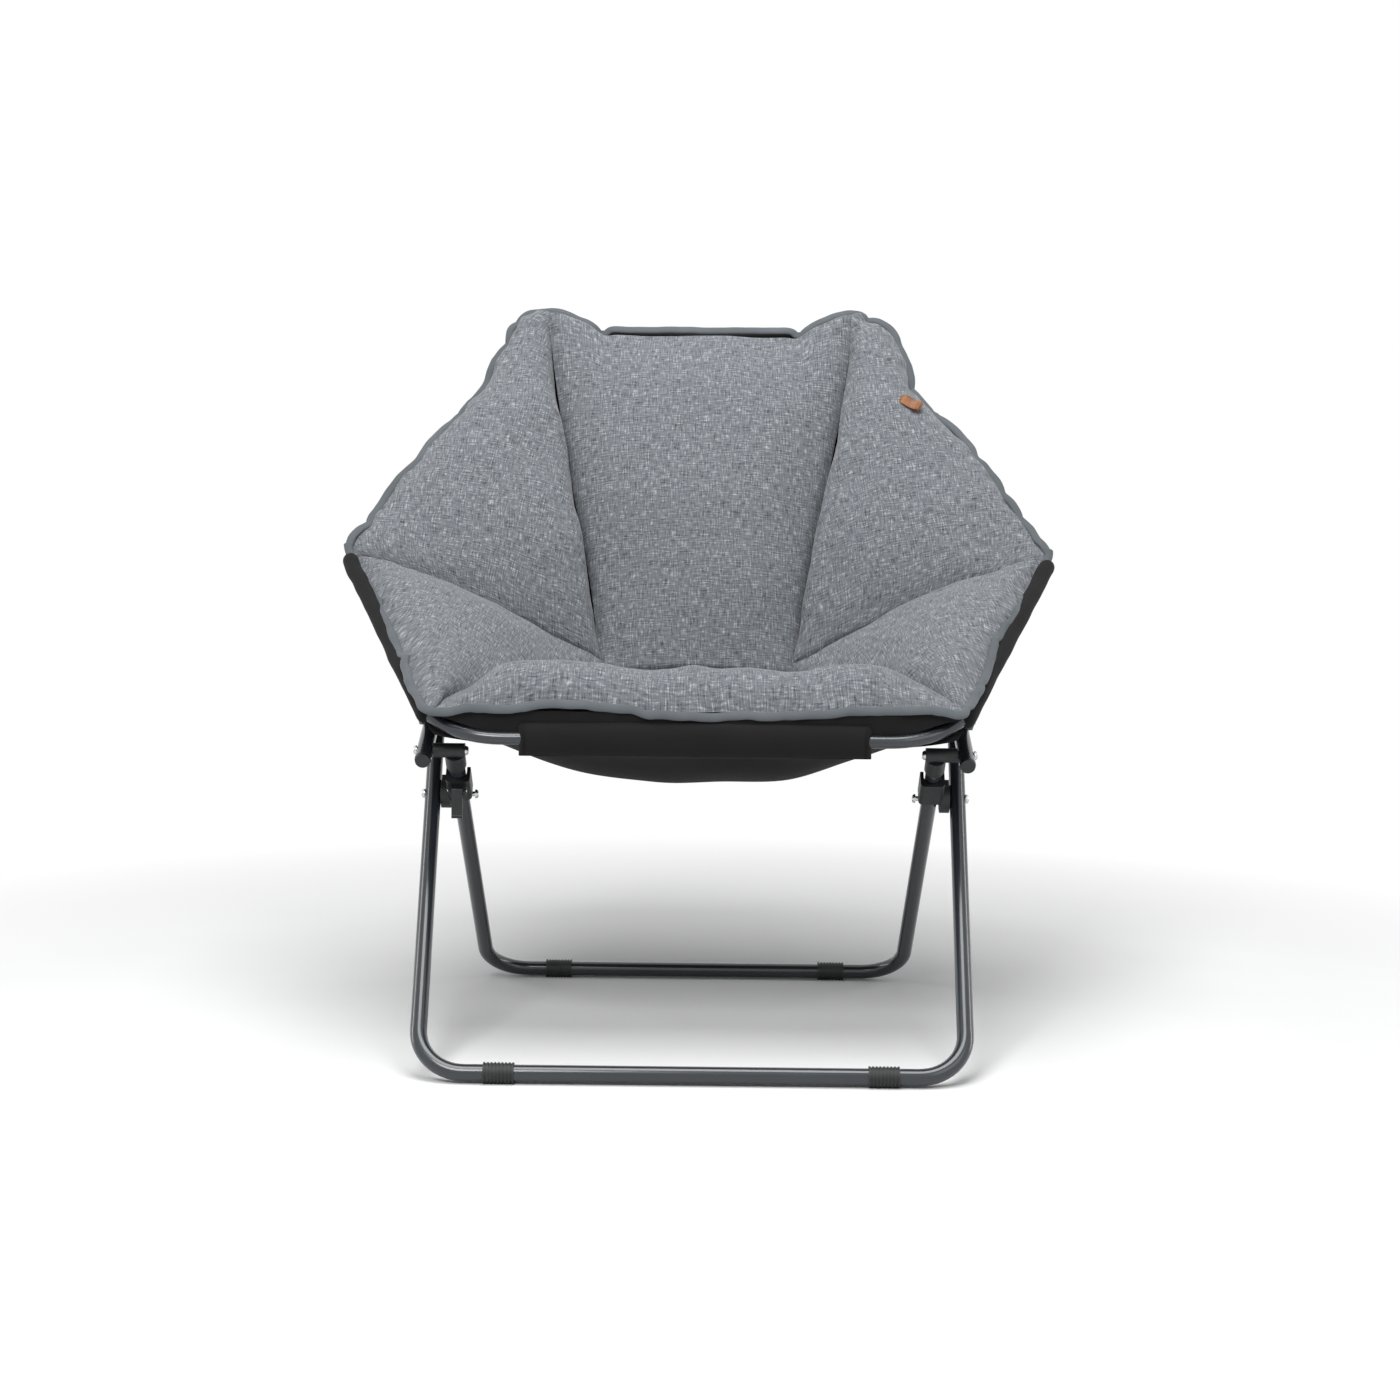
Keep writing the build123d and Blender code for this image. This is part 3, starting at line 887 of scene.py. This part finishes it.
@dataclass
class QuiltedSeat:
    """The cupped seat: a centre back, two side backs, two arm panels, the seat itself and a roll along its front."""

    finishes: Finishes
    rim: BoundRim = BoundRim()
    back_face: Point = (0.0, -0.9, 0.42)
    side_face: Point = (-0.5, -0.78, 0.36)
    arm_face: Point = (-0.55, -0.3, 0.78)
    up: Point = (0.0, 0.0, 1.0)
    # A point on the arm tube and a share of the arm's thickness, meant for pressing a folded arm; neither is used.
    pressed_to: Point = (384, 300, 500)
    pressed_share: float = 0.45
    roll_front: float = 100.0
    roll_back: float = 205.0
    # The bound rim of the right half, from the top corner to the side corner and on to the front corner.
    back_rim: tuple[Point, ...] = (
        (204, 598, 882),
        (228, 596, 879),
        (250, 588, 862),
        (260, 580, 838),
        (276, 564, 802),
        (285, 554, 778),
        (303, 538, 757),
        (322, 524, 742),
        (357, 492, 695),
        (392, 456, 645),
        (411, 437, 615),
        (421, 427, 603),
        (434, 412, 587),
        (441, 403, 571),
    )
    arm_rim: tuple[Point, ...] = (
        (441, 405, 580),
        (431, 389, 552),
        (411, 352, 534),
        (386, 300, 503),
        (362, 250, 474),
        (342, 198, 446),
        (318, 126, 414),
        (304, 100, 402),
    )
    # Places across and up of the right half of the top edge, from the corner in, and of the front edge from the left.
    top_edge: tuple[tuple[float, float], ...] = (
        (188, 882),
        (168, 876),
        (152, 869),
        (141, 862),
        (133, 853),
        (127, 855),
        (117, 861),
        (90, 861),
        (45, 861),
    )
    top_depth: float = 587.0
    top_sweep: float = 22.0
    front_edge: tuple[tuple[float, float], ...] = (
        (-277, 398),
        (-198, 405),
        (-153, 407),
        (-107, 403),
        (-50, 398),
        (5, 396),
        (118, 396),
        (230, 403),
        (280, 402),
    )
    front_depth: float = 99.0
    binding_width: float = 11.0
    binding_thickness: float = 5.4

    def centre_back(self) -> bpy.types.Object:
        """The broad panel between the two channels.

        Returns:
            The panel's object.
        """
        face = self.back_face
        return StuffedPanel(
            "back_centre_quilt",
            [
                level(204, 591, 849, 7, 2, face),
                level(197.5, 581, 825, 20, 3, face),
                level(189.8, 561, 786, 30, 5, face),
                level(178.2, 536, 727, 39, 6, face),
                level(162.2, 505, 646, 43, 7, face),
                level(146.6, 479, 575, 42, 6, face),
                level(133.2, 450, 503, 39, 6, face),
                level(127, 428, 450, 34, 4, face),
                level(125, 410, 414, 26, 3, face),
            ],
            Body.BACK,
            "back_cushion_centre",
            self.finishes.cloth,
            around=84,
            steps=80,
            lump_mm=4.5,
            pucker_mm=2.0,
            seed=1.0,
            shape=self.rim.ears,
            fill=0.75,
            backing=self.finishes.cover,
        ).build()

    def side_back(self, side: Side) -> bpy.types.Object:
        """A panel beside the channel, thick at the channel and thin at the rim.

        Args:
            side: which of the two.

        Returns:
            The panel's object.
        """
        face = self.side_face
        rows = [
            Row((196, 595, 876), (214, 598, 883), 5, 2, face, 1.0),
            Row((197.5, 587, 850), (246, 591, 864), 16, 2, face, 0.95),
            Row((193.6, 573, 812), (270, 574, 822), 27, 2, face, 0.85),
            Row((189.2, 556, 775), (285, 556, 778), 36, 3, face, 0.78),
            Row((180.3, 538, 730), (313, 530, 750), 43, 4, face, 0.72),
            Row((165.4, 508, 655), (355, 494, 700), 48, 4, face, 0.68),
            Row((151.8, 484, 592), (391, 457, 648), 49, 5, face, 0.64),
            Row((139, 460, 532), (419, 429, 606), 45, 5, face, 0.64),
            Row((127.5, 436, 468), (437, 408, 580), 36, 4, face, 0.68),
            Row((117, 418, 424), (430, 398, 566), 22, 3, face, 0.8),
        ]
        return StuffedPanel(
            f"back_side_quilt_{side.word}",
            [mirrored_row(row, side) for row in rows],
            Body.BACK,
            f"back_cushion_{side.word}",
            self.finishes.cloth,
            around=72,
            steps=84,
            lump_mm=5.0,
            pucker_mm=5.5,
            seed=3.0 + side.value,
            bound_outer=True,
            shape=self.rim.wave,
            backing=self.finishes.cover,
        ).build()

    def arm(self, side: Side) -> bpy.types.Object:
        """The panel that falls from the side corner to the front corner.

        Args:
            side: which of the two.

        Returns:
            The panel's object.
        """
        face = self.arm_face
        rows = [
            Row((112, 418, 426), (438, 404, 577), 14, 3, face, 0.9),
            Row((134, 386, 408), (430, 387, 553), 36, 5, face, 1.0),
            Row((160, 340, 398), (407, 343, 530), 44, 6, face, 1.1),
            Row((196, 290, 394), (382, 292, 499), 43, 6, face, 1.15),
            Row((226, 244, 396), (358, 242, 470), 40, 5, face, 1.15),
            Row((258, 204, 402), (338, 190, 442), 30, 4, face, 1.1),
            Row((284, 156, 405), (318, 130, 415), 14, 3, face, 1.0),
            Row((298, 112, 401), (305, 102, 402), 2, 2, face, 1.0),
        ]
        quilt = StuffedPanel(
            f"arm_quilt_{side.word}",
            [mirrored_row(row, side) for row in rows],
            Body.SEAT,
            f"arm_cushion_{side.word}",
            self.finishes.cloth,
            around=68,
            steps=76,
            lump_mm=5.5,
            pucker_mm=5.5,
            seed=8.0 + side.value,
            bound_outer=True,
            shape=self.rim.wave,
            fill=0.65,
            backing=self.finishes.cover,
        ).build()
        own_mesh(quilt)
        return quilt

    def seat(self) -> bpy.types.Object:
        """The low middle of the seat, behind the roll.

        Returns:
            The panel's object.
        """
        return StuffedPanel(
            "seat_quilt",
            [
                level(150, 418, 404, 10, 6, self.up),
                level(182, 362, 384, 20, 10, self.up),
                level(219, 305, 371, 22, 13, self.up),
                level(252, 252, 366, 22, 14, self.up),
                level(276, 200, 372, 10, 6, self.up),
            ],
            Body.SEAT,
            "seat_cushion",
            self.finishes.cloth,
            around=60,
            steps=30,
            pucker_mm=0.5,
            seed=14.0,
            fill=0.6,
            backing=self.finishes.cover,
        ).build()

    def roll(self) -> bpy.types.Object:
        """The stuffed roll along the front edge, over the seat tube.

        Returns:
            The panel's object.
        """
        # Place across, crown, thickness below and height of each row.
        shapes = (
            (-302, 3, 2, 400),
            (-268, 18, 3, 397),
            (-228, 38, 4, 401),
            (-185, 46, 6, 404),
            (-111, 48, 7, 403),
            (-60, 43, 8, 399),
            (5, 47, 8, 397),
            (108, 44, 7, 397),
            (188, 49, 5, 402),
            (233, 37, 4, 404),
            (272, 19, 3, 402),
            (302, 3, 2, 402),
        )
        return StuffedPanel(
            "front_roll_quilt",
            [
                Row((x, self.roll_front, z), (x, self.roll_back, z + 2), crown, under, self.up, 1.15, 5.0)
                for x, crown, under, z in shapes
            ],
            Body.SEAT,
            "front_roll",
            self.finishes.cloth,
            around=52,
            steps=130,
            lump_mm=4.5,
            pucker_mm=4.0,
            seed=19.0,
            bound_inner=True,
            shape=self.rim.wave,
            backing=self.finishes.cover,
        ).build()

    def binding_run(self, name: str, line: list[Point], face: Point, body: Body, steps: int) -> bpy.types.Object:
        """One run of the flat binding along the rim.

        Args:
            name: the run's name.
            line: the rim's points from the left round to the right.
            face: the way that its flat side faces.
            body: the body that carries it.
            steps: how many lengths the run is drawn in.

        Returns:
            The binding's object.
        """
        return Band(
            name,
            line,
            self.binding_width,
            self.binding_thickness,
            face,
            body,
            self.finishes.binding,
            steps=steps,
            ripple=self.rim.seam,
            slot="seat_fabric",
            nose=0.002,
        ).build()

    def binding(self) -> None:
        """The binding sewn round the rim, in two runs that part at the side corners."""
        half = [(x, self.top_depth + x / self.top_sweep, z) for x, z in self.top_edge]
        centre = (0.0, self.top_depth, self.top_edge[-1][1])
        top = [mirrored(point, Side.LEFT) for point in half] + [centre] + half[::-1]
        left_back = [mirrored(point, Side.LEFT) for point in reversed(self.back_rim)]
        left_arm = [mirrored(point, Side.LEFT) for point in self.arm_rim]
        front = [(x, self.front_depth, z) for x, z in self.front_edge]
        back_line = left_back + top + list(self.back_rim)
        arm_line = left_arm + front + list(reversed(self.arm_rim))
        self.binding_run("rim_binding_back", back_line, (0, -0.8, 0.6), Body.BACK, 520)
        self.binding_run("rim_binding_front", arm_line, (0, -0.9, 0.35), Body.SEAT, 480)

    def build(self) -> dict[Side, bpy.types.Object]:
        """Make the whole seat.

        Returns:
            The side backs.
        """
        self.centre_back()
        side_backs = {side: self.side_back(side) for side in Side}
        for side in Side:
            self.arm(side)
        self.seat()
        self.roll()
        self.binding()
        return side_backs


@dataclass
class UnderCover:
    """The black cloth that carries the quilt: sheaths on the tubes, a slung seat, a back panel and a front sleeve."""

    finishes: Finishes
    arm_foot: Point = (292.5, 99.0, 371.0)
    arm_tip: Point = (428.0, 384.0, 552.0)
    # The right half of the back tube, from the side corner up to the top bar.
    back_line: tuple[Point, ...] = (
        (281, 456, 540),
        (246, 511, 657),
        (212, 566, 766),
        (188, 600, 828),
        (150, 606, 846),
        (60, 606, 846),
    )
    arm_sheath: float = 20.5
    back_sheath: float = 22.0
    gauge: float = 1.2
    sling_cut: tuple[float, float] = (0.72, 0.342)
    panel_cut: tuple[float, float] = (0.49, 0.48)
    web_cut: tuple[float, float] = (0.58, 0.0228)
    # Heights of the sling's middle, from front to back.
    sling_middle: tuple[float, ...] = (354.0, 322.0, 306.0, 306.0, 326.0, 372.0)
    # Where the sling starts on the arm tube and how much of it it takes, as shares of the tube.
    sling_start: float = 0.04
    sling_run: float = 0.94
    sling_below_tube: float = 8.0
    sling_bow: float = 30.0
    sling_tuck: float = 0.1
    # Half width, depth and height of the back panel, from its foot to the top bar.
    panel_lines: tuple[Point, ...] = (
        (300.0, 396.0, 425.0),
        (296.0, 424.0, 470.0),
        (281.0, 466.0, 540.0),
        (246.0, 521.0, 657.0),
        (212.0, 576.0, 766.0),
        (190.0, 610.0, 840.0),
    )
    panel_belly: float = 9.0
    panel_low_belly: float = 27.0
    web_half: float = 296.0
    web_depth: float = 98.0
    web_sweep: float = 6.0
    web_top: float = 402.0
    web_foot: float = 378.0
    # The web's foot rises towards each front corner, from this share of its half width on, and folds more there.
    web_corner: float = 0.78
    web_corner_rise: float = 16.0
    web_fold: float = 3.2
    web_corner_fold: float = 6.0
    sleeve_half: int = 200
    sleeve_depth: float = 99.0
    sleeve_upper: float = 391.0
    sleeve_lower: float = 350.5
    sleeve_belly: float = 9.2
    seam_width: float = 2.4
    seam_thickness: float = 2.0
    hem_x: float = 193.0
    hem_width: float = 1.8
    # Depths and heights of a hem, round the sleeve from above.
    hem_line: tuple[tuple[float, float], ...] = ((95.6, 388), (91.4, 382), (88.3, 370), (91.2, 358), (95.9, 353))

    def on_arm(self, share: float) -> Point:
        """A point of the right arm tube's centre line, from the front corner at 0 to its tip at 1."""
        x, depth, z = (a + (b - a) * share for a, b in zip(self.arm_foot, self.arm_tip))
        return x, depth, z

    def sling_place(self, u: float, v: float) -> Vector:
        """Where the slung seat cloth hangs.

        Args:
            u: the place across, from -1 on the left tube to 1 on the right.
            v: the place from front to back, 0 to 1.

        Returns:
            The point in metres.
        """
        edge_x, depth, edge_z = self.on_arm(self.sling_start + self.sling_run * v)
        edge_z -= self.sling_below_tube
        low = catmull([[height] for height in self.sling_middle], v)[0]
        aside = min(1.0, abs(u))
        hang = 1 - abs(u) ** 2.6
        tuck = 1 - self.sling_tuck * math.sin(math.pi * aside) ** 2
        x = edge_x * math.copysign(aside**0.9, u) * tuck
        place = at(x, depth + self.sling_bow * v * hang, edge_z + (low - edge_z) * hang)
        return place + Vector((0, 0, slack(place, size_mm=70, lift_mm=3.0, seed=2.0)))

    def panel_place(self, u: float, v: float) -> Vector:
        """Where the back panel lies, with its belly behind the quilt.

        Args:
            u: the place across, from -1 to 1.
            v: the place from the foot to the top bar, 0 to 1.

        Returns:
            The point in metres.
        """
        half, depth, z = catmull(self.panel_lines, v)
        belly = (self.panel_belly + self.panel_low_belly * (1 - v) ** 2) * (1 - u**4)
        place = at(half * u, depth + belly, z)
        return place + Vector((0, slack(place, size_mm=90, lift_mm=3.0, seed=7.0), 0))

    def web_place(self, u: float, v: float) -> Vector:
        """Where the gathered strip between the front binding and the seat tube lies.

        Args:
            u: the place across, from -1 to 1.
            v: the place from the tube up to the binding, 0 to 1.

        Returns:
            The point in metres.
        """
        top = self.web_top + abs(u) ** 3
        low = self.web_foot + self.web_corner_rise * smooth((abs(u) - self.web_corner) / (1 - self.web_corner))
        lift = self.web_fold + self.web_corner_fold * u**4
        fold = slack(Vector((u * 0.3, 0, v * 0.004)), size_mm=17, lift_mm=lift, seed=4.0) * v
        place = at(self.web_half * u, self.web_depth + self.web_sweep * u**4, low + (top - low) * v)
        return place + Vector((0, fold, fold * 0.4))

    def sheet(self, name: str, columns: int, lines: int, place: Callable[[float, float], Vector]) -> bpy.types.Object:
        """Shape one sheet of black cloth.

        Args:
            name: the sheet's name.
            columns: how many faces it has across.
            lines: how many faces it has along.
            place: where each point of the cloth goes.

        Returns:
            The sheet's object.
        """
        bm = bmesh.new()
        for vert in bmesh.ops.create_grid(bm, x_segments=columns, y_segments=lines, size=1.0)["verts"]:
            vert.co = place(vert.co.x, (vert.co.y + 1) / 2)
        bmesh.ops.solidify(bm, geom=bm.faces, thickness=-self.gauge * MM)
        piece = finish_mesh(bm, name, self.finishes.cover, 1)
        return piece

    def sling(self) -> None:
        """The seat cloth slung between the two arm tubes."""
        piece = self.sheet("seat_sling_cloth", 40, 26, self.sling_place)
        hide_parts("seat_sling")
        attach(piece, Body.SEAT.value)

    def back_panel(self) -> None:
        """The cloth stretched over the back frame, behind the quilt."""
        piece = self.sheet("back_panel_cloth", 36, 40, self.panel_place)
        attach(piece, Body.BACK.value)

    def front_web(self) -> None:
        """The gathered strip of cover between the front binding and the seat tube."""
        piece = self.sheet("front_web_cloth", 90, 8, self.web_place)
        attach(piece, Body.SEAT.value)

    def sheaths(self) -> None:
        """The sewn tunnels round the arm tubes and the back frame."""
        cover = self.finishes.cover
        for side in Side:
            Band(
                f"arm_sheath_{side.word}",
                [mirrored(self.on_arm(share), side) for share in (0.1, 0.26, 0.42, 0.58, 0.74, 0.9, 1.06)],
                self.arm_sheath,
                self.arm_sheath,
                (0, 0, 1),
                Body.SEAT,
                cover,
                around=20,
                steps=60,
                ripple=lambda place: noise.noise_vector(place / 0.03) * 0.0016,
                nose=0.05,
            ).build()
        Band(
            "back_sheath",
            [mirrored(point, Side.LEFT) for point in self.back_line] + list(reversed(self.back_line)),
            self.back_sheath,
            self.back_sheath,
            (0, 1, 0),
            Body.BACK,
            cover,
            around=20,
            steps=160,
            ripple=lambda place: noise.noise_vector(place / 0.03) * 0.0008,
        ).build()

    def front_sleeve(self) -> None:
        """The sleeve that closes round the seat tube."""
        rows = []
        for x in range(-self.sleeve_half, self.sleeve_half + 1, 50):
            aside = abs(x) / self.sleeve_half
            upper = (x, self.sleeve_depth, self.sleeve_upper - 1.5 * aside)
            lower = (x, self.sleeve_depth, self.sleeve_lower + aside)
            rows.append(Row(upper, lower, self.sleeve_belly, self.sleeve_belly, (0, -1, 0), rim=3.0))
        StuffedPanel(
            "front_sleeve_cloth",
            rows,
            Body.SEAT,
            "front_pocket",
            self.finishes.cover,
            around=36,
            steps=80,
            lump_mm=2.0,
            pucker_mm=0.4,
            seed=23.0,
            fill=0.3,
            hem_mm=0.0,
            slot="under_fabric",
        ).build()

    def stitching(self) -> None:
        """The sleeve's two lines of stitching, and the hem at each of its ends."""
        face, thread = (0, -1, 0), self.finishes.thread
        for name, z, depth in (("upper", 388.5, 96.6), ("lower", 352.5, 96.9)):
            line = [(x, depth, z) for x in (-199, -120, -40, 40, 120, 199)]
            size = (self.seam_width, self.seam_thickness)
            Band(f"front_sleeve_seam_{name}", line, *size, face, Body.SEAT, thread, around=8, steps=80).build()
        for side in Side:
            line = [(self.hem_x * side.value, depth, z) for depth, z in self.hem_line]
            size = (self.hem_width, self.hem_width)
            Band(f"front_sleeve_hem_{side.word}", line, *size, face, Body.SEAT, thread, around=8, steps=24).build()

    def build(self) -> None:
        """Make all the black cloth."""
        self.sling()
        self.sheaths()
        self.back_panel()
        self.front_web()
        self.front_sleeve()
        self.stitching()


@dataclass
class LeatherTag:
    """The tan leather loop sewn into the rim near the right top corner."""

    finishes: Finishes
    eye: Point
    aim: Point = (268.0, 540.0, 765.0)
    slant: Point = (0.8, 0.0, -0.6)
    width: float = 16.0
    thickness: float = 2.2
    # How far the loop's broad side turns to the camera, and how far up.
    to_camera: float = 0.82
    upward: float = 0.57
    # Distances along the loop and out from the quilt, out to the fold and back again.
    profile: tuple[tuple[float, float], ...] = (
        (-10.0, -1.0),
        (-6.0, 2.4),
        (4.0, 4.4),
        (12.0, 8.0),
        (14.0, 11.5),
        (17.0, 9.0),
        (12.0, 5.2),
        (4.0, 2.4),
        (-8.0, 0.4),
    )

    def build(self, carrier: bpy.types.Object) -> None:
        """Fold a strip into a loop and sew it to the quilt, where the photograph shows it.

        Args:
            carrier: the quilt that it is sewn to.
        """
        bpy.context.view_layer.update()
        eye = Vector(self.eye)
        sight = (at(*self.aim) - eye).normalized()
        hit, root, out, _ = carrier.ray_cast(eye, sight, depsgraph=bpy.context.evaluated_depsgraph_get())
        LOG.info("leather loop found its place: %s", hit)
        run = Vector(self.slant)
        run = (run - out * run.dot(out)).normalized()
        sight -= run * sight.dot(run)
        face = -sight.normalized() * self.to_camera + run.cross(sight).normalized() * self.upward
        line = []
        for along, lift in self.profile:
            place = (root + run * (along * MM) + face * (lift * MM)) / MM
            line.append((place.x, place.y + MID_DEPTH, place.z))
        Band(
            "leather_loop",
            line,
            self.width,
            self.thickness,
            tuple(face),
            Body.BACK,
            self.finishes.leather,
            around=10,
            steps=60,
            slot=None,
        ).build()


@dataclass(frozen=True)
class Lamp:
    """One soft rectangular lamp."""

    name: str
    place: Point
    target: Point
    size: tuple[float, float]
    power: float

    def build(self) -> None:
        """Hang the lamp."""
        light = bpy.data.lights.new(self.name, "AREA")
        light.shape = "RECTANGLE"
        light.size, light.size_y = self.size
        light.energy = self.power
        lamp = bpy.data.objects.new(self.name, light)
        bpy.context.scene.collection.objects.link(lamp)
        lamp.location = self.place
        lamp.rotation_euler = (Vector(self.target) - Vector(self.place)).to_track_quat("-Z", "Y").to_euler()


@dataclass
class Studio:
    """A plain white floor and background, soft lamps, and the camera at the photograph's place."""

    eye: Point = (0.0143, -2.8601, 0.6673)
    target: Point = (0.0044, 0.0, 0.3974)
    roll_degrees: float = 0.58
    focal_mm: float = 60.98
    sensor_mm: float = 36.0
    sky: tuple[float, float, float, float] = (0.95, 0.97, 1.0, 1.0)
    sky_strength: float = 0.15
    white: tuple[float, float, float, float] = (1.0, 1.0, 1.0, 1.0)
    # How far from the middle the floor starts to turn white, and where it is all white.
    near_floor: float = 0.75
    far_floor: float = 1.5
    lamps: tuple[Lamp, ...] = (
        Lamp("key_lamp", (-0.9, -2.7, 2.7), (0, 0, 0.45), (1.2, 1.2), 56.0),
        Lamp("fill_lamp", (1.8, -2.4, 2.0), (0, 0, 0.4), (1.8, 1.8), 13.0),
        Lamp("top_lamp", (0.0, -0.6, 3.0), (0, 0, 0.4), (1.8, 1.8), 63.0),
        Lamp("left_strip", (-2.4, 0.2, 1.0), (0, 0, 0.35), (0.28, 2.0), 12.0),
        Lamp("right_strip", (2.4, 0.2, 1.0), (0, 0, 0.35), (0.28, 2.0), 12.0),
    )

    @staticmethod
    def any_ray(tree: bpy.types.NodeTree, *kinds: str) -> bpy.types.NodeSocket:
        """Tell rays of some kinds from all others.

        Args:
            tree: the node tree that asks.
            kinds: names of Light Path outputs.

        Returns:
            The socket with 1 for a ray of any of the kinds, else 0.
        """
        path = add_node(tree, "ShaderNodeLightPath")
        flag = path.outputs[kinds[0]]
        for kind in kinds[1:]:
            either = add_node(tree, "ShaderNodeMath", {"operation": "MAXIMUM"})
            tree.links.new(flag, either.inputs[0])
            tree.links.new(path.outputs[kind], either.inputs[1])
            flag = either.outputs[0]
        return flag

    @staticmethod
    def mixed(
        tree: bpy.types.NodeTree, share: bpy.types.NodeSocket, first: bpy.types.Node, second: bpy.types.Node
    ) -> bpy.types.NodeSocket:
        """Mix two shaders.

        Args:
            tree: the node tree that holds them.
            share: the socket with the second shader's share.
            first: the shader at a share of 0.
            second: the shader at a share of 1.

        Returns:
            The mixed shader's socket.
        """
        mix = add_node(tree, "ShaderNodeMixShader")
        for place, output in enumerate((share, first.outputs[0], second.outputs[0])):
            tree.links.new(output, mix.inputs[place])
        return mix.outputs[0]

    def backdrop(self) -> None:
        """White to the camera, in reflections and through glass, and an ordinary pale light for everything else."""
        world = bpy.data.worlds.new("pale_world")
        bpy.context.scene.world = world
        world.use_nodes = True
        tree = world.node_tree
        tree.nodes.clear()
        seen = self.any_ray(tree, "Is Camera Ray", "Is Glossy Ray", "Is Transmission Ray")
        dim = add_node(tree, "ShaderNodeBackground", {"Color": self.sky, "Strength": self.sky_strength})
        white = add_node(tree, "ShaderNodeBackground", {"Color": self.white, "Strength": 1.0})
        add_node(tree, "ShaderNodeOutputWorld", {}, {"Surface": self.mixed(tree, seen, dim, white)})

    def floor(self) -> None:
        """A white painted floor that keeps the chair's soft shadow."""
        bm = bmesh.new()
        bmesh.ops.create_grid(bm, x_segments=2, y_segments=2, size=6.0)
        material, tree = blank_material("white_floor_painted")
        place = add_node(tree, "ShaderNodeTexCoord").outputs["Object"]
        tone = add_node(tree, "ShaderNodeTexNoise", {"Scale": 3.0}, {"Vector": place}).outputs["Fac"]
        colour = ramp(tree, tone, [(0.3, "#f4f4f4"), (0.7, "#f7f7f7")])
        paint = add_node(
            tree, "ShaderNodeBsdfPrincipled", {"Roughness": 0.9, "Specular IOR Level": 0.1}, {"Base Color": colour}
        )
        # Past the chair's shadow the floor turns into the white background.
        reach = add_node(tree, "ShaderNodeVectorMath", {"operation": "LENGTH"}, {"Vector": place}).outputs["Value"]
        fade = add_node(
            tree, "ShaderNodeMapRange", {"From Min": self.near_floor, "From Max": self.far_floor}, {"Value": reach}
        ).outputs["Result"]
        share = add_node(tree, "ShaderNodeMath", {"operation": "MULTIPLY"})
        tree.links.new(self.any_ray(tree, "Is Camera Ray", "Is Glossy Ray"), share.inputs[0])
        tree.links.new(fade, share.inputs[1])
        white = add_node(tree, "ShaderNodeEmission", {"Color": self.white, "Strength": 1.0})
        mix = self.mixed(tree, share.outputs[0], paint, white)
        add_node(tree, "ShaderNodeOutputMaterial", {}, {"Surface": mix})
        finish_mesh(bm, "floor", material)

    def camera(self) -> None:
        """The photograph's view."""
        data = bpy.data.cameras.new("photo_camera")
        data.lens, data.sensor_width, data.sensor_fit = self.focal_mm, self.sensor_mm, "HORIZONTAL"
        camera = bpy.data.objects.new("photo_camera", data)
        bpy.context.scene.collection.objects.link(camera)
        aim = (Vector(self.target) - Vector(self.eye)).to_track_quat("-Z", "Y").to_matrix().to_4x4()
        turn = Matrix.Rotation(math.radians(self.roll_degrees), 4, "Z")
        camera.matrix_world = Matrix.Translation(self.eye) @ aim @ turn
        bpy.context.scene.camera = camera

    def build(self) -> None:
        """Set up the studio."""
        bpy.context.scene.view_settings.view_transform = "Standard"
        self.backdrop()
        self.floor()
        for lamp in self.lamps:
            lamp.build()
        self.camera()


def main() -> None:
    """Build the chair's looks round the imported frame."""
    logging.basicConfig(level=logging.INFO, format="%(name)s: %(message)s")
    # Without a seed, vector noise follows the clock and the bound edges differ in each run.
    noise.seed_set(WAVE_SEED)
    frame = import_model()
    finishes = Finishes()
    finishes.dress_hardware(frame["nodes"])
    studio = Studio()
    side_backs = QuiltedSeat(finishes).build()
    UnderCover(finishes).build()
    LeatherTag(finishes, studio.eye).build(side_backs[Side.RIGHT])
    studio.build()


if __name__ == "__main__":
    main()
